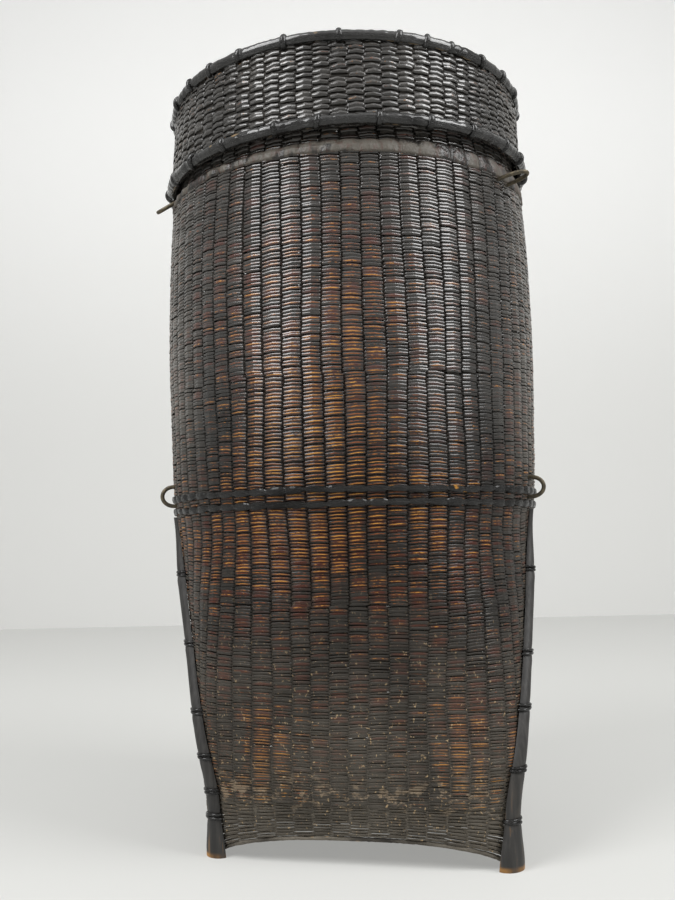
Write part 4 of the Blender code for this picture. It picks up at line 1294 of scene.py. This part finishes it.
class BASKET_OT_stage(Operator):
    """Set the studio: floor, wall, lamps and the photograph's camera"""

    bl_idname = "basket.stage"
    bl_label = "Studio"

    def execute(self, context):
        scene = context.scene
        studio, colours = scene.basket_studio, scene.basket_colours
        back, reach = studio.wall_distance, STAGE_REACH
        front = (-reach, -reach, 0), (reach, -reach, 0)
        foot = (reach, back, 0), (-reach, back, 0)
        high = (reach, back, reach), (-reach, back, reach)

        finish = self.backdrop("studio_floor", front + foot)
        # The floor's paint is a little darker near the front, as painted shade
        paint = finish.blend(colours.ground_near_dim, colours.ground, finish.y.ramp(*FLOOR_LIGHT_FALLOFF))
        glowing = finish.seen()
        close = abs(finish.x).ramp(*CLOSE_ACROSS) * finish.y.ramp(*CLOSE_ALONG)
        dim = finish.blend(BLACK, paint, 1 - glowing * close * NEAR_PAINT_DROP)
        self.paint(finish, dim, finish.blend(BLACK, paint, glowing), studio.floor_glow)

        finish = self.backdrop("studio_wall", foot[::-1] + high)
        # The wall's paint is lighter high up, as painted light
        paint = finish.blend(colours.wall, colours.wall_high_lit, finish.z.ramp(*WALL_LIGHT_FALLOFF))
        self.paint(finish, paint, finish.blend(BLACK, paint, finish.seen()), studio.wall_glow)

        for lamp in LAMPS:
            self.lamp(scene, *lamp, getattr(studio, lamp[0] + "_power"))

        world = bpy.data.worlds.new("room")
        world.use_nodes = True
        sky = Finish("room", world, "Generated")
        open_sky = (sky.z * 0.8 + abs(sky.x) * 0.5 + sky.y * 0.5).ramp(-0.1, 0.9)
        light = (open_sky * (1 - studio.dim_share) + studio.dim_share) * studio.world
        seen = sky.seen()
        sky.set(Color=(1.0, 1.0, 0.98),
                Strength=light * (1 - seen) + seen * studio.backdrop)
        scene.world = world

        camera = bpy.data.cameras.new("photo_camera")
        camera.lens = studio.lens
        camera.sensor_width = 36.0
        camera.clip_start = 0.02
        holder = bpy.data.objects.new("photo_camera", camera)
        holder.matrix_world = (Matrix.Translation(studio.camera)
                               @ Matrix.Rotation(math.pi / 2 + studio.pitch, 4, "X")
                               @ Matrix.Rotation(-studio.roll, 4, "Z"))
        scene.collection.objects.link(holder)
        scene.camera = holder
        scene.view_settings.view_transform = "Standard"
        return {"FINISHED"}

    def backdrop(self, name, corners):
        """A flat of the studio's stage and its finish."""
        finish = Finish(name)
        mesh = bpy.data.meshes.new(name)
        mesh.from_pydata(corners, [], [(0, 1, 2, 3)])
        mesh.materials.append(finish.material)
        flat = bpy.data.objects.new(name, mesh)
        bpy.context.scene.collection.objects.link(flat)
        return finish

    def paint(self, finish, colour, glow, strength):
        """Matt studio paint that glows a little to the camera."""
        finish.set(Base_Color=colour, Roughness=0.9, Specular_IOR_Level=0.1,
                   Emission_Color=glow, Emission_Strength=strength)

    def lamp(self, scene, name, azimuth_deg, distance, height, size, power):
        """An area lamp that faces the basket's middle."""
        data = bpy.data.lights.new(name + "_lamp", "AREA")
        data.shape = "RECTANGLE"
        data.size, data.size_y = size
        data.energy = power
        lamp = bpy.data.objects.new(name + "_lamp", data)
        turn = math.radians(azimuth_deg)
        lamp.location = (distance * math.sin(turn), -distance * math.cos(turn), height)
        lamp.rotation_mode = "QUATERNION"
        lamp.rotation_quaternion = (LAMP_AIM - lamp.location).to_track_quat("-Z", "Y")
        scene.collection.objects.link(lamp)


class BASKET_PT_panel(Panel):
    """The basket's steps and sizes in the sidebar"""

    bl_label = "Grain Storage Basket"
    bl_idname = "BASKET_PT_panel"
    bl_space_type = "VIEW_3D"
    bl_region_type = "UI"
    bl_category = "Basket"

    def draw(self, context):
        layout = self.layout
        for key in GROUPS:
            group = getattr(context.scene, key)
            box = layout.box()
            for name in group.__annotations__:
                box.prop(group, name)
        for step in STEPS:
            layout.operator(step.bl_idname)


STEPS = (BASKET_OT_body_weave, BASKET_OT_floor, BASKET_OT_edge, BASKET_OT_bands,
         BASKET_OT_lid, BASKET_OT_hoops, BASKET_OT_legs, BASKET_OT_eyes, BASKET_OT_stage)
GROUPS = {"basket_sizes": BasketSizes, "basket_colours": BasketColours,
          "basket_studio": StudioSettings}


def register():
    for kind in (*GROUPS.values(), *STEPS, BASKET_PT_panel):
        bpy.utils.register_class(kind)
    for name, group in GROUPS.items():
        setattr(bpy.types.Scene, name, PointerProperty(type=group))


def unregister():
    for name in GROUPS:
        delattr(bpy.types.Scene, name)
    for kind in reversed((*GROUPS.values(), *STEPS, BASKET_PT_panel)):
        bpy.utils.unregister_class(kind)


def main():
    register()
    for step in STEPS:
        family, name = step.bl_idname.split(".")
        getattr(getattr(bpy.ops, family), name)()


if __name__ == "__main__":
    main()
